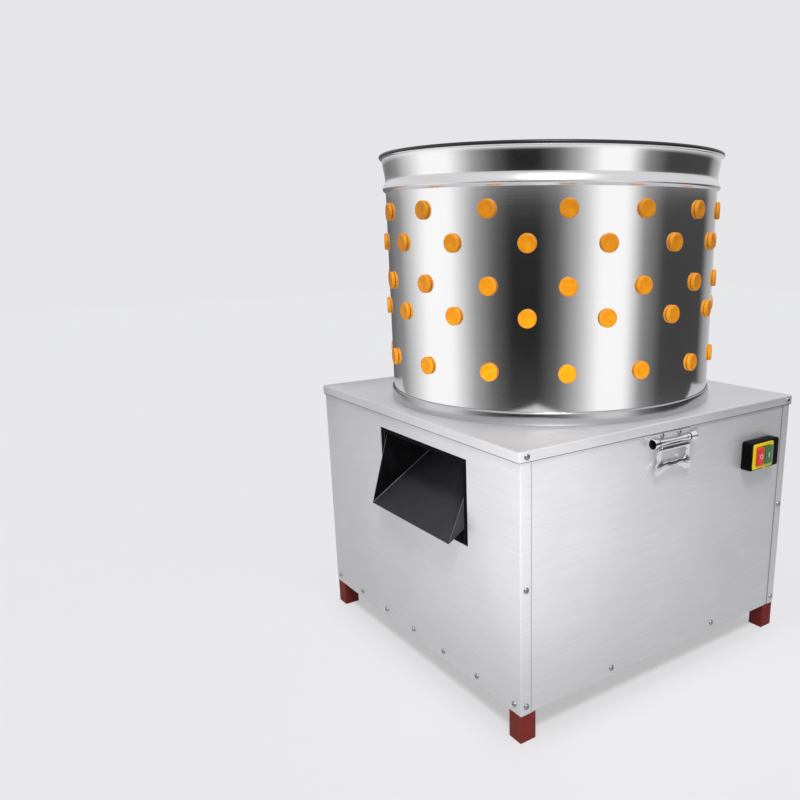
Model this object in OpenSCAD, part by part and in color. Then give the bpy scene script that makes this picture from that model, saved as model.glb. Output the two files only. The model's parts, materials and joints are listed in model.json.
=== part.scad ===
// Drum poultry plucker: a steel barrel lined with rubber fingers stands on a square cabinet.
// A fingered turntable spins in the barrel, and feathers leave through a chute in the left side.
// Millimetres. +Z is up, the front (-Y) carries the switch, and the origin is on the floor
// under the axis of the barrel.

/* [Cabinet] */
// Width and depth over the lip of the deck
cabinet_w = 620; // [600:1:660]
// Height of the deck's top face above the floor
deck_top = 452; // [440:1:480]
// Height of the lower edge of the side panels above the floor
skirt_z = 47; // [40:1:60]
// Thickness of the deck sheet
deck_t = 1.5; // [1:0.1:2.5]
// Height of the lip folded down round the deck
lip_h = 16; // [12:1:24]
// Gap between the lip and the panels behind it
lip_gap = 0.5; // [0.3:0.1:1.5]
// Thickness of the side panel sheet
panel_t = 1; // [0.6:0.1:1.5]
// Width of the side panels' flanges on the front and rear faces
flange_w = 20; // [16:1:26]

/* [Frame] */
// Side of the square frame tube
tube = 28; // [25:1:32]
// Wall of the frame tube
tube_wall = 2; // [1.5:0.1:4]

/* [Chute] */
// Middle of the chute opening along the left panel
chute_y = -45; // [-60:1:20]
// Width of the chute opening
opening_w = 265; // [200:1:300]
// Height of the chute opening
opening_h = 138; // [110:1:160]
// Drop from the deck to the opening's upper edge
opening_drop = 40; // [36:1:60]
// Gap between the chute and the opening on each side
chute_gap = 10.5; // [4:0.5:20]
// Reach of the chute's lip beyond the left panel
chute_reach = 28; // [15:1:40]
// Rise of the chute's lip above the opening's lower edge
lip_rise = 9; // [4:1:20]
// Lean of the free edge of the cheek nearer the front, measured along X
front_cheek_lean = 54; // [10:1:60]
// Lean of the free edge of the cheek nearer the rear, measured along X
rear_cheek_lean = 35; // [10:1:60]
// How far the flange behind the panel laps the opening's edge
frame_lap = 6; // [4:0.5:9]
// Gap between the cheeks and the opening's upper edge
cheek_gap = 8; // [4:1:20]
// Thickness of the chute and tray sheet
tray_t = 1.5; // [1:0.1:2.5]
// Distance from the barrel's axis to the tray's low edge
tray_low_x = 195; // [150:1:230]
// Slope of the tray, in degrees
tray_slope = 5.5; // [3:0.1:7]

/* [Barrel] */
// Inside diameter of the barrel
barrel_d = 565; // [540:1:575]
// Thickness of the barrel wall
barrel_t = 1.5; // [1:0.1:2.5]
// Height of the barrel above the deck
barrel_h = 408; // [395:1:450]
// Drop from the barrel's top edge to the middle of the bead
bead_drop = 50; // [40:1:54]
// Height of the pressed bead
bead_h = 16; // [10:1:20]
// How far the bead stands out
bead_out = 4; // [2:0.5:6]
// How far the collar above the bead flares out
flare = 6; // [0:0.5:9]
// Radius of the rolled edge at the top
rim_r = 3.5; // [2.5:0.1:5]
// Height of the bead ring at the foot of the barrel
ring_h = 21; // [14:1:26]
// How far the bead ring stands out
ring_out = 4; // [3:0.5:6]

/* [Rubber fingers] */
// Fingers in each row round the barrel
fingers_per_row = 15; // [10:1:16]
// Height of the lowest row above the deck
row_1 = 80; // [78:0.5:100]
// Height of the second row above the deck
row_2 = 161.5; // [140:0.5:170]
// Height of the third row above the deck
row_3 = 207.5; // [200:0.5:230]
// Height of the fourth row above the deck
row_4 = 269; // [250:0.5:280]
// Height of the highest row above the deck
row_5 = 317; // [305:0.5:330]
// Angle of the first finger in the odd rows
row_phase = 19.6; // [0:0.1:24]
// Diameter of a finger's head
head_d = 28; // [26:0.5:32]
// Height of a finger's head
head_h = 6; // [5:0.5:12]
// Diameter of the hole that a finger is pulled through
hole_d = 19; // [16:0.5:21]
// Diameter of a finger's body at its root
root_d = 24; // [22:0.5:26]
// Diameter of a finger's body at its tip
tip_d = 16; // [12:0.5:18]
// Length of a barrel finger inside the wall
wall_finger_len = 80; // [60:1:85]
// Length of a turntable finger above the plate
plate_finger_len = 58; // [40:1:60]
// Grip rings along a finger
finger_ribs = 6; // [4:1:8]
// Depth of the grooves between the rings
rib_depth = 1.4; // [0.6:0.1:2]

/* [Turntable] */
// Gap between the turntable's edge and the hole in the deck
feather_gap = 17; // [12:1:20]
// Thickness of the turntable plate
plate_t = 4; // [3:0.5:6]
// Rings of fingers on the turntable
rings = 3; // [2:1:3]
// Radius of the innermost ring
ring_inner = 95; // [85:1:120]
// Gap between the outermost ring's middle and the turntable's edge
ring_edge = 30; // [20:1:50]
// Fingers in the innermost ring; each ring outwards has as many more
ring_step = 6; // [4:2:6]
// Paddles that sweep feathers to the chute
paddles = 2; // [1:1:2]
// Drop of the paddles below the plate
paddle_drop = 26; // [15:1:34]
// Gap between the paddles and the tray's high edge
paddle_gap = 8.5; // [4:0.5:15]
// Thickness of a paddle
paddle_t = 5; // [3:0.5:8]
// Diameter of the hub's flange
hub_d = 124; // [112:1:130]
// Diameter of the hub's boss
boss_d = 60; // [52:1:70]
// Height of the hub
hub_h = 42; // [36:1:44]
// Bolts through the hub's flange
hub_bolts = 6; // [4:1:6]

/* [Shaft and bearings] */
// Diameter of the main shaft
shaft_d = 30; // [25:0.5:35]
// Diameter of the threaded end on top of the main shaft
stud_d = 20; // [16:1:22]
// Outside diameter of the shaft bearings
bearing_d = 62; // [60:1:66]
// Width of the shaft bearings
bearing_w = 16; // [14:1:18]
// How much wider the bearing housings' square flange is than a bearing
housing_rim = 38; // [34:1:50]
// Thickness of that flange
housing_flange = 10; // [8:1:12]
// Height of a bearing housing
housing_h = 28; // [24:1:34]
// Thickness of the plate under the upper bearing
bearing_plate_t = 6; // [5:0.5:10]
// Thickness of the plate that carries the motor
drive_plate_t = 8; // [6:0.5:10]

/* [Belt drive] */
// Diameter of the driven pulley
driven_d = 240; // [200:1:260]
// Diameter of the motor pulley
driver_d = 70; // [64:1:80]
// Height of both pulleys
pulley_h = 34; // [30:1:44]
// Depth of a pulley groove
groove_depth = 10; // [9:0.5:12]
// Thickness of a belt
belt_t = 8; // [6:0.5:8.5]
// Width of a belt
belt_w = 11; // [9:0.5:11.5]
// Gap between the pulleys and the frame above and below them
pulley_gap = 6; // [6:0.5:10]

/* [Motor] */
// Diameter of the motor's end bell
motor_d = 150; // [130:1:156]
// Gap between the motor and the frame rail beside it
motor_gap = 8; // [5:0.5:15]
// Length of the motor's finned body
motor_len = 150; // [130:1:155]
// Thickness of the end bell
bell_t = 14; // [12:1:20]
// Length of the fan cowl
cowl_len = 46; // [40:1:48]
// Cooling fins round the motor
motor_fins = 24; // [12:1:30]
// Diameter of the motor shaft
motor_shaft_d = 24; // [19:1:28]
// Diameter of the rotor core
rotor_d = 82; // [60:1:90]
// Width and height of the terminal box
terminal_w = 70; // [60:1:80]
// How far the terminal box stands out of the motor
terminal_out = 42; // [30:1:50]
// Diameter of the run capacitor
capacitor_d = 44; // [36:1:50]
// Length of the run capacitor
capacitor_len = 95; // [70:1:105]
// Width of the saddle that holds the capacitor to the motor
saddle_w = 30; // [20:1:34]
// Thickness of a fan blade
blade_t = 3; // [2:0.5:5]

/* [Switch] */
// Distance from the cabinet's right edge to the middle of the switch box
switch_inset = 94; // [85:1:190]
// Drop from the deck to the middle of the switch box
switch_drop = 90.5; // [60:0.5:200]
// Width of the switch box
switch_w = 80; // [74:1:90]
// Height of the switch box
switch_h = 50; // [48:1:60]
// Depth of the switch box in front of the panel
switch_depth = 20; // [18:0.5:30]
// How far the yellow plate's middle is to the left of the box's middle
face_shift = 6.5; // [0:0.5:8]
// Thickness of the yellow plate
face_t = 1.6; // [1:0.1:3]
// Width of the yellow plate
face_w = 56; // [54:1:60]
// Height of the yellow plate
face_h = 45; // [42:1:46]
// Width of a push button
button_w = 18; // [14:0.5:19]
// Height of a push button
button_h = 32; // [24:0.5:33]
// How far a button stands out of the yellow plate
button_out = 4.5; // [4:0.5:8]
// Travel of a button
button_travel = 3; // [2:0.5:3.5]

/* [Carrying handles] */
// Offset of the handles from the middle of their panels
handle_x = -9; // [-40:1:40]
// Drop from the plate's top edge to the hinge axis
hinge_drop = 13; // [13:0.5:20]
// Thickness of the handle's plate
handle_plate_t = 2; // [1.5:0.1:4]
// Width of the handle's plate at its waist
waist_w = 80; // [70:1:86]
// Radius of the round ears at the plate's foot
ear_r = 8; // [6:0.5:10]
// Length of the hinge
hinge_len = 96; // [90:1:110]
// Outside diameter of the hinge knuckles
knuckle_d = 13; // [10:0.5:14]
// Diameter of the hinge pin
pin_d = 5; // [4:0.5:6]
// Width of the swinging bail
bail_w = 88; // [84:1:96]
// Drop of the bail below the hinge axis
bail_drop = 53; // [52:1:66]
// Thickness of the bail
bail_t = 4; // [3:0.5:5]
// Width of the window in the bail
window_w = 58; // [50:1:62]
// Height of the window in the bail
window_h = 18; // [14:1:20]
// Height of the grip below the window
grip_h = 19; // [16:1:22]
// Rise of the arch under the grip
grip_arch = 8; // [4:0.5:10]

/* [Cable gland] */
// Place of the gland along the right panel
gland_y = 180; // [100:1:250]
// Height of the gland above the floor
gland_z = 140; // [100:1:200]
// Diameter of the gland's thread
gland_d = 16; // [12:0.5:20]

/* [Fasteners] */
// Screws along the foot of each side panel
side_screws = 7; // [3:1:9]
// Distance of the screws in the front and rear panels from the middle
front_screw_x = 123; // [60:1:250]
// Diameter of a panel screw's head
screw_head_d = 9.6; // [7:0.1:10]
// Height of a panel screw's head
screw_head_h = 2.6; // [1.5:0.1:4]
// Diameter of a panel screw's shank
screw_d = 4; // [3:0.1:5]
// Length of a panel screw's shank
screw_len = 10; // [8:1:14]
// Diameter of the bolts that hold the bearings, hub and motor
bolt_d = 8; // [6:0.5:10]

/* [Hidden] */
$fn = 64;
// Clearances: a snug fit, a running fit, and room between moving pieces
snug = 0.05;
running = 0.04;
room = 0.3;
over = 1;

// Cabinet faces, from the lip inwards
half = cabinet_w / 2;
lip_in = half - deck_t;
flange_face = lip_in - lip_gap;
panel_face = flange_face - panel_t;
leg_face = panel_face - panel_t;
rail_in = leg_face - tube;
rail_mid = leg_face - tube / 2;
deck_under = deck_top - deck_t;
top_rail_z = deck_under - tube;

// Panel screws
screw_z = skirt_z + tube / 2;
flange_screw_x = panel_face - flange_w / 2;
flange_screw_z = (skirt_z + deck_top) / 2 - 2;
lip_screw_z = deck_top - lip_h / 2;
side_screw_span = 2 * rail_mid;

// Barrel
barrel_r = barrel_d / 2;
barrel_out = barrel_r + barrel_t;
barrel_top = deck_top + barrel_h;
deck_ledge = 5.5;
deck_hole_r = min(barrel_r - deck_ledge, rail_in - over);
bead_z = barrel_top - bead_drop;
rim_edge_z = barrel_top - rim_r;
arc_steps = 8;

// Rubber fingers: the flat shoulder inside clears the curved wall
wall_sag = barrel_r - sqrt(barrel_r * barrel_r - root_d * root_d / 4);
wall_neck = barrel_t + wall_sag + 2 * snug;
finger_pitch = 360 / fingers_per_row;
row_heights = [row_1, row_2, row_3, row_4, row_5];

// Turntable, from the plate down
plate_z = deck_top;
plate_top = plate_z + plate_t;
plate_r = deck_hole_r - feather_gap;
ring_outer = plate_r - ring_edge;
hub_flange_t = 8;
boss_z = plate_z - hub_h;
hub_pcd = (hub_d + boss_d) / 2;
paddle_out = plate_r - 8;
stud_len = 15;
nut_h = 13;
nut_dome = 9;

// Tray: its high edge lies under the paddles, and its floor falls to the chute
tray_rise = tan(tray_slope);
tray_high_z = plate_z - paddle_drop - paddle_gap;
function tray_z(x) = tray_high_z - (rail_in - x) * tray_rise;
tray_low_z = tray_z(-tray_low_x);
tray_rim_z = deck_top - 12;
collar_r = shaft_d / 2 + 6;
collar_top = boss_z - 5;

// Chute, placed from the opening
opening_top = deck_top - opening_drop;
opening_z = opening_top - opening_h;
chute_w = opening_w - 2 * chute_gap;
chute_out = panel_face + chute_reach;
chute_lip_z = opening_z + lip_rise;
cheek_top = opening_top - cheek_gap;
chute_rise = (tray_low_z - chute_lip_z) / (chute_out - tray_low_x);
frame_z = opening_z - frame_lap;
frame_w = chute_gap + frame_lap;
frame_foot = chute_lip_z - tray_t - snug + (chute_out - leg_face) * chute_rise - frame_z;
frame_head_z = cheek_top + snug;
frame_head = opening_top + frame_lap - frame_head_z;

// Bearings, plates and pulleys, stacked down from the tray
shaft_r = shaft_d / 2;
housing_dome = bearing_d + 22;
housing_w = bearing_d + housing_rim;
housing_bolt = housing_w / 2 - 12;
housing_seat = (housing_h - bearing_w) / 2;
housing_gap = 5;
upper_housing_z = tray_z(-housing_dome / 2) - tray_t - housing_gap - housing_h;
bearing_plate_z = upper_housing_z - bearing_plate_t;
bearing_rail_z = bearing_plate_z - tube;
pulley_z = bearing_rail_z - pulley_gap - pulley_h;
drive_plate_top = pulley_z - pulley_gap;
drive_plate_z = drive_plate_top - drive_plate_t;
drive_rail_z = drive_plate_z - tube;
lower_housing_z = drive_plate_z - housing_h;
shaft_low = lower_housing_z - 8;
bearing_bar_x = housing_w / 2 + tube / 2;
bearing_plate_x = housing_w / 2 + tube;
bearing_plate_y = housing_w / 2 + 20;

// Belt drive: the motor hangs beside the right rail, and the grooves lie evenly on the pulleys
drive_centres = rail_in - motor_d / 2 - motor_gap;
belts = 2;
groove_w = belt_w + 2 * room;
groove_pitch = pulley_h / belts;
driven_core = driven_d / 2 - groove_depth;
driver_core = driver_d / 2 - groove_depth;
belt_turn = acos((driven_core - driver_core) / drive_centres);
belt_steps = 48;

// Motor, from the drive plate down
motor_r = motor_d / 2;
bell_z = drive_plate_z - bell_t;
motor_z = bell_z - motor_len;
cowl_z = motor_z - cowl_len;
fin_h = 4;
motor_shaft_r = motor_shaft_d / 2;
motor_bolt_r = motor_r - 14;
bell_grip = bell_t - 5;
drive_bar_y = motor_r + 2 + tube / 2;
drive_plate_in = housing_w / 2 + 30;
motor_mid_z = motor_z + motor_len / 2;
capacitor_y = motor_r + 4 + capacitor_d / 2;
fan_gap = 10;
fan_hub = motor_shaft_r + 8;

// Switch
switch_x = half - switch_inset;
switch_z = deck_top - switch_drop;
switch_wall = 2;
face_x = switch_x - face_shift;
button_gap = 3;
button_flange = 1.6;
button_flange_t = 2;

// Handles
handle_top = deck_top - lip_h - over;
hinge_z = handle_top - hinge_drop;
hinge_y = panel_face + handle_plate_t + room + knuckle_d / 2;
knuckle_len = hinge_len / 5;
bail_knuckle = hinge_len - 2 * knuckle_len - 2 * room;
bail_z = hinge_z - bail_drop;
ear_x = bail_w / 2 - 1;
ear_z = bail_z + ear_r;
rivet_x = 20;
rivet_z = handle_top - 5;

steel = "Gainsboro";
oxide = "#7A2A24";
rubber = "Orange";
dark = "#36353A";
chrome = "Silver";
iron = "SlateGray";

// Helpers

// A square tube along X, Y or Z, open at both ends
module tube_x(len) {
    translate([-len / 2, -tube / 2, 0]) difference() {
        cube([len, tube, tube]);
        translate([-over, tube_wall, tube_wall])
            cube([len + 2 * over, tube - 2 * tube_wall, tube - 2 * tube_wall]);
    }
}

module tube_y(len) {
    rotate([0, 0, 90]) tube_x(len);
}

// A ring or sleeve round the Z axis
module sleeve(outer, inner, h) {
    difference() {
        cylinder(r = outer, h = h);
        translate([0, 0, -over]) cylinder(r = inner, h = h + 2 * over);
    }
}

// Every panel screw: children are drawn with +Z out of the sheet and 0 on the seat
module at_screws() {
    for (side = [-1, 1]) {
        for (i = [0:side_screws - 1])
            translate([side * panel_face, side_screw_span * (i / (side_screws - 1) - 0.5), screw_z])
                rotate([0, side * 90, 0]) children();
        for (x = [-1, 1]) {
            for (z = [screw_z, flange_screw_z])
                translate([x * flange_screw_x, side * flange_face, z])
                    rotate([-side * 90, 0, 0]) children();
            translate([x * front_screw_x, side * panel_face, screw_z])
                rotate([-side * 90, 0, 0]) children();
            translate([x * flange_screw_x, side * half, lip_screw_z])
                rotate([-side * 90, 0, 0]) children();
        }
    }
}

module screw_holes() {
    at_screws() translate([0, 0, -screw_len - over])
        cylinder(d = screw_d + 2 * snug, h = screw_len + 2 * over);
}

// A hex-head bolt with its seat at 0, the head above and the shank below
module bolt(len) {
    cylinder(d = bolt_d * 1.8, h = bolt_d * 0.65, $fn = 6);
    translate([0, 0, -len]) cylinder(d = bolt_d, h = len + 0.1);
}

module bolt_hole(len) {
    translate([0, 0, -len]) cylinder(d = bolt_d + 2 * snug, h = len + over);
}

// A rubber finger along Z: the head stands above 0, the neck fills the hole and the body hangs below
module finger(neck, len) {
    body = len - neck;
    pitch = (body - 8) / finger_ribs;
    function radius(d) = root_d / 2 - (root_d - tip_d) / 2 * d / body;
    ribs = [
        for (i = [0:finger_ribs - 1])
            for (p = [[0.1, 0], [0.6, 0], [0.72, 1], [0.98, 1]])
                let (d = 3 + (i + p[0]) * pitch)
                    [radius(d) - p[1] * rib_depth, -neck - d]
    ];
    rotate_extrude($fn = 32) polygon(concat(
        [
            [0, head_h], [head_d / 2 - 2, head_h], [head_d / 2, head_h - 2], [head_d / 2, 0],
            [hole_d / 2 - snug, 0], [hole_d / 2 - snug, -neck], [root_d / 2, -neck]
        ],
        ribs,
        [[tip_d / 2, -len + 3], [tip_d / 2 - 3, -len], [0, -len]]
    ));
}

// Children at every place of one row of barrel fingers, with +Z out through the wall
module at_wall_row(row) {
    stagger = row % 2 == 0 ? finger_pitch / 2 : 0;
    for (i = [0:fingers_per_row - 1])
        rotate([0, 0, row_phase + stagger + i * finger_pitch])
            translate([barrel_out + snug, 0, deck_top + row_heights[row - 1]])
                rotate([0, 90, 0]) children();
}

// Children at every place of a turntable finger, with +Z down through the plate
module at_plate_fingers() {
    for (ring = [0:rings - 1]) {
        count = ring_step * (ring + 1);
        radius = ring_inner + (ring_outer - ring_inner) * ring / (rings - 1);
        for (i = [0:count - 1])
            rotate([0, 0, (i + 0.5) * 360 / count]) translate([radius, 0, plate_z - snug])
                rotate([180, 0, 0]) children();
    }
}

module at_hub_bolts() {
    for (i = [0:hub_bolts - 1])
        rotate([0, 0, i * 360 / hub_bolts]) translate([hub_pcd / 2, 0, plate_top]) children();
}

// Children at the corners of a bearing housing's flange
module at_housing_corners(z) {
    for (x = [-1, 1]) for (y = [-1, 1])
        translate([x * housing_bolt, y * housing_bolt, z]) children();
}

module at_motor_bolts() {
    for (i = [0:3])
        translate([drive_centres, 0, drive_plate_top]) rotate([0, 0, 45 + 90 * i])
            translate([motor_bolt_r, 0, 0]) children();
}

// Frame

module leg(x, y) {
    color(oxide) difference() {
        translate([x * rail_mid - tube / 2, y * rail_mid - tube / 2, 0])
            cube([tube, tube, deck_under]);
        translate([x * rail_mid - tube / 2 + tube_wall, y * rail_mid - tube / 2 + tube_wall, tube_wall])
            cube([tube - 2 * tube_wall, tube - 2 * tube_wall, deck_under]);
        screw_holes();
    }
}

module front_left_leg() { leg(-1, -1); }
module front_right_leg() { leg(1, -1); }
module rear_left_leg() { leg(-1, 1); }
module rear_right_leg() { leg(1, 1); }

module rail_square(z) {
    for (side = [-1, 1]) {
        translate([0, side * rail_mid, z]) tube_x(2 * rail_in);
        translate([side * rail_mid, 0, z]) tube_y(2 * rail_in);
    }
}

module top_rails() {
    color(oxide) rail_square(top_rail_z);
}

module bottom_rails() {
    color(oxide) difference() {
        rail_square(skirt_z);
        screw_holes();
    }
}

module drive_rails() {
    color(oxide) for (side = [-1, 1])
        translate([side * rail_mid, 0, drive_rail_z]) tube_y(2 * rail_in);
}

module drive_crossbars() {
    color(oxide) for (side = [-1, 1])
        translate([0, side * drive_bar_y, drive_rail_z]) tube_x(2 * rail_in);
}

module bearing_rails() {
    color(oxide) for (side = [-1, 1])
        translate([0, side * rail_mid, bearing_rail_z]) tube_x(2 * rail_in);
}

module bearing_crossbars() {
    color(oxide) for (side = [-1, 1])
        translate([side * bearing_bar_x, 0, bearing_rail_z]) tube_y(2 * rail_in);
}

module bearing_plate() {
    color(oxide) difference() {
        translate([-bearing_plate_x, -bearing_plate_y, bearing_plate_z])
            cube([2 * bearing_plate_x, 2 * bearing_plate_y, bearing_plate_t]);
        translate([0, 0, bearing_plate_z - over])
            cylinder(r = shaft_r + 2, h = bearing_plate_t + 2 * over);
        at_housing_corners(upper_housing_z) bolt_hole(bearing_plate_t + over);
    }
}

module drive_plate() {
    plate_y = drive_bar_y + tube / 2;
    color(oxide) difference() {
        translate([-drive_plate_in, -plate_y, drive_plate_z])
            cube([drive_plate_in + rail_mid, 2 * plate_y, drive_plate_t]);
        translate([0, 0, drive_plate_z - over])
            cylinder(r = shaft_r + 2, h = drive_plate_t + 2 * over);
        translate([drive_centres, 0, drive_plate_z - over])
            cylinder(r = motor_shaft_r + 2, h = drive_plate_t + 2 * over);
        at_housing_corners(drive_plate_top) bolt_hole(drive_plate_t + over);
        at_motor_bolts() bolt_hole(drive_plate_t + over);
    }
}

// Cabinet skin

module plain_panel(side) {
    width = 2 * (leg_face - snug);
    color(steel) difference() {
        translate([-width / 2, side * (panel_face + leg_face) / 2 - panel_t / 2, skirt_z])
            cube([width, panel_t, deck_under - skirt_z - over]);
        screw_holes();
    }
}

module front_panel() { plain_panel(-1); }
module rear_panel() { plain_panel(1); }

module wrapped_panel() {
    height = deck_under - skirt_z - over;
    difference() {
        union() {
            translate([leg_face, -flange_face, skirt_z]) cube([panel_t, 2 * flange_face, height]);
            for (side = [-1, 1])
                translate([panel_face - flange_w, side * (flange_face - panel_t / 2) - panel_t / 2, skirt_z])
                    cube([flange_w, panel_t, height]);
        }
        screw_holes();
    }
}

module left_panel() {
    color(steel) difference() {
        mirror([1, 0, 0]) wrapped_panel();
        translate([-panel_face - over, chute_y - opening_w / 2, opening_z])
            cube([panel_t + 2 * over, opening_w, opening_h]);
    }
}

module right_panel() {
    color(steel) difference() {
        wrapped_panel();
        translate([leg_face - over, gland_y, gland_z]) rotate([0, 90, 0])
            cylinder(d = gland_d + 2 * snug, h = panel_t + 2 * over);
    }
}

module deck() {
    color(steel) difference() {
        translate([-half, -half, deck_top - lip_h]) cube([cabinet_w, cabinet_w, lip_h]);
        translate([-lip_in, -lip_in, deck_top - lip_h - over])
            cube([2 * lip_in, 2 * lip_in, lip_h - deck_t + over]);
        translate([0, 0, deck_under - over]) cylinder(r = deck_hole_r, h = deck_t + 2 * over, $fn = 128);
        screw_holes();
    }
}

module panel_screws() {
    color(chrome) at_screws() {
        cylinder(d1 = screw_head_d, d2 = screw_head_d * 0.7, h = screw_head_h, $fn = 32);
        translate([0, 0, -screw_len]) cylinder(d = screw_d, h = screw_len + 0.1, $fn = 24);
    }
}

// Feather tray and chute

// A sheet seen from the front, drawn in XZ, with its thickness along Y
module sheet_xz(points, y, width) {
    translate([0, y + width / 2, 0]) rotate([90, 0, 0]) linear_extrude(width) polygon(points);
}

module feather_tray() {
    low = -tray_low_x;
    cheek = chute_w / 2;
    color(steel) difference() {
        union() {
            sheet_xz([
                [low, tray_z(low) - tray_t], [rail_in, tray_z(rail_in) - tray_t],
                [rail_in, tray_z(rail_in)], [low, tray_z(low)]
            ], 0, 2 * rail_in);
            for (side = [-1, 1])
                sheet_xz([
                    [low, tray_z(low) - tray_t], [rail_in, tray_z(rail_in) - tray_t],
                    [rail_in, tray_rim_z], [low, tray_rim_z]
                ], side * (rail_in - tray_t / 2), tray_t);
            translate([rail_in - tray_t, -rail_in, tray_z(rail_in) - tray_t])
                cube([tray_t, 2 * rail_in, tray_rim_z - tray_z(rail_in) + tray_t]);
            difference() {
                translate([low, -rail_in, tray_z(low) - tray_t / 2])
                    cube([tray_t, 2 * rail_in, tray_high_z - tray_z(low) + tray_t / 2]);
                translate([low - over, chute_y - cheek, tray_z(low) - tray_t])
                    cube([tray_t + 2 * over, chute_w, deck_top]);
            }
            translate([0, 0, tray_z(-collar_r - tray_t)])
                cylinder(r = collar_r + tray_t, h = collar_top - tray_z(-collar_r - tray_t));
        }
        translate([0, 0, tray_z(low) - over]) cylinder(r = collar_r, h = deck_top - tray_z(low));
    }
}

module chute_floor() {
    color(dark) sheet_xz([
        [-chute_out, chute_lip_z - tray_t], [-tray_low_x, tray_low_z - tray_t],
        [-tray_low_x, tray_low_z], [-chute_out, chute_lip_z]
    ], chute_y, chute_w - 2 * tray_t);
}

// Both cheeks, with a flange behind the panel that closes the gap beside and below them
module chute_cheeks() {
    color(dark) {
        for (side = [-1, 1])
            sheet_xz([
                [-chute_out, chute_lip_z - tray_t], [-tray_low_x, tray_low_z - tray_t],
                [-tray_low_x, cheek_top],
                [-chute_out + (side < 0 ? front_cheek_lean : rear_cheek_lean), cheek_top]
            ], chute_y + side * (chute_w - tray_t) / 2, tray_t);
        translate([-leg_face, chute_y, frame_z]) {
            for (side = [-1, 1])
                translate([0, side * ((chute_w + frame_w) / 2 + snug) - frame_w / 2, 0])
                    cube([tray_t, frame_w, opening_h + 2 * frame_lap]);
            translate([0, -chute_w / 2, 0]) cube([tray_t, chute_w, frame_foot]);
            translate([0, -chute_w / 2, frame_head_z - frame_z]) cube([tray_t, chute_w, frame_head]);
        }
    }
}

// Barrel

// The wall's outer outline from the deck up: plain wall, pressed bead, flared collar
function wall_outline() = concat(
    [[barrel_out, deck_top]],
    [
        for (i = [0:arc_steps])
            let (a = -90 + 180 * i / arc_steps)
                [barrel_out + bead_out * cos(a), bead_z + bead_h / 2 * sin(a)]
    ],
    [[barrel_out + flare, rim_edge_z]]
);

module barrel_shell() {
    outline = wall_outline();
    last = len(outline) - 1;
    color(steel) difference() {
        rotate_extrude($fn = 128) {
            polygon(concat(outline, [for (i = [last:-1:0]) outline[i] - [barrel_t, 0]]));
            translate([barrel_out + flare, rim_edge_z]) circle(r = rim_r, $fn = 32);
        }
        for (row = [1:len(row_heights)])
            at_wall_row(row) translate([0, 0, -barrel_t - 2 * over])
                cylinder(d = hole_d, h = barrel_t + 4 * over);
    }
}

module barrel_base_ring() {
    color(steel) rotate_extrude($fn = 128) polygon(concat(
        [[barrel_out + snug, deck_top]],
        [
            for (i = [0:arc_steps])
                let (a = -90 + 180 * i / arc_steps)
                    [barrel_out + ring_out - 2 + 2 * cos(a), deck_top + ring_h / 2 * (1 + sin(a))]
        ],
        [[barrel_out + snug, deck_top + ring_h]]
    ));
}

module wall_fingers(row) {
    color(rubber) at_wall_row(row) finger(wall_neck, wall_finger_len);
}

module wall_fingers_row_1() { wall_fingers(1); }
module wall_fingers_row_2() { wall_fingers(2); }
module wall_fingers_row_3() { wall_fingers(3); }
module wall_fingers_row_4() { wall_fingers(4); }
module wall_fingers_row_5() { wall_fingers(5); }

// Bearings

module bearing_housing() {
    difference() {
        union() {
            translate([-housing_w / 2, -housing_w / 2, 0]) cube([housing_w, housing_w, housing_flange]);
            cylinder(d = housing_dome, h = housing_h);
        }
        translate([0, 0, -over]) cylinder(r = shaft_r + 1, h = housing_h + 2 * over);
        translate([0, 0, housing_seat]) cylinder(d = bearing_d + 2 * snug, h = bearing_w + snug);
        at_housing_corners(housing_flange) bolt_hole(housing_flange + over);
    }
}

module bearing() {
    sleeve(bearing_d / 2, shaft_r + running, bearing_w);
}

// The upper housing stands on its plate and the lower one hangs under the drive plate
module bearing_housings() {
    color(iron) {
        translate([0, 0, upper_housing_z]) bearing_housing();
        translate([0, 0, drive_plate_z]) mirror([0, 0, 1]) bearing_housing();
    }
}

module shaft_bearings() {
    color(chrome) {
        translate([0, 0, upper_housing_z + housing_seat]) bearing();
        translate([0, 0, drive_plate_z - housing_seat - bearing_w]) bearing();
    }
}

module bearing_bolts() {
    color(chrome) {
        at_housing_corners(upper_housing_z + housing_flange) bolt(housing_flange + bearing_plate_t);
        at_housing_corners(drive_plate_z - housing_flange) mirror([0, 0, 1])
            bolt(housing_flange + drive_plate_t);
    }
}

// Motor

module motor_body() {
    color(iron) translate([drive_centres, 0, motor_z]) difference() {
        linear_extrude(motor_len) {
            circle(r = motor_r - fin_h);
            for (i = [0:motor_fins - 1])
                rotate([0, 0, i * 360 / motor_fins]) translate([motor_r - fin_h - 2, -1]) square([fin_h + 2, 2]);
        }
        translate([0, 0, 8]) cylinder(d = rotor_d + 2, h = motor_len);
        translate([0, 0, -over]) cylinder(r = motor_shaft_r + running, h = motor_len);
    }
}

module motor_end_bell() {
    color(iron) translate([drive_centres, 0, bell_z]) difference() {
        cylinder(r = motor_r, h = bell_t);
        translate([0, 0, -over]) cylinder(r = motor_shaft_r + running, h = bell_t + 2 * over);
        translate([0, 0, bell_t]) for (i = [0:3])
            rotate([0, 0, 45 + 90 * i]) translate([motor_bolt_r, 0, 0]) bolt_hole(bell_grip + over);
    }
}

module fan_cowl() {
    color(iron) translate([drive_centres, 0, cowl_z]) difference() {
        cylinder(r = motor_r, h = cowl_len);
        translate([0, 0, 2]) cylinder(r = motor_r - 2, h = cowl_len);
        for (i = [0:7])
            rotate([0, 0, i * 45]) translate([motor_r * 0.3, -3, -over]) cube([motor_r * 0.55, 6, 4 + over]);
    }
}

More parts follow.
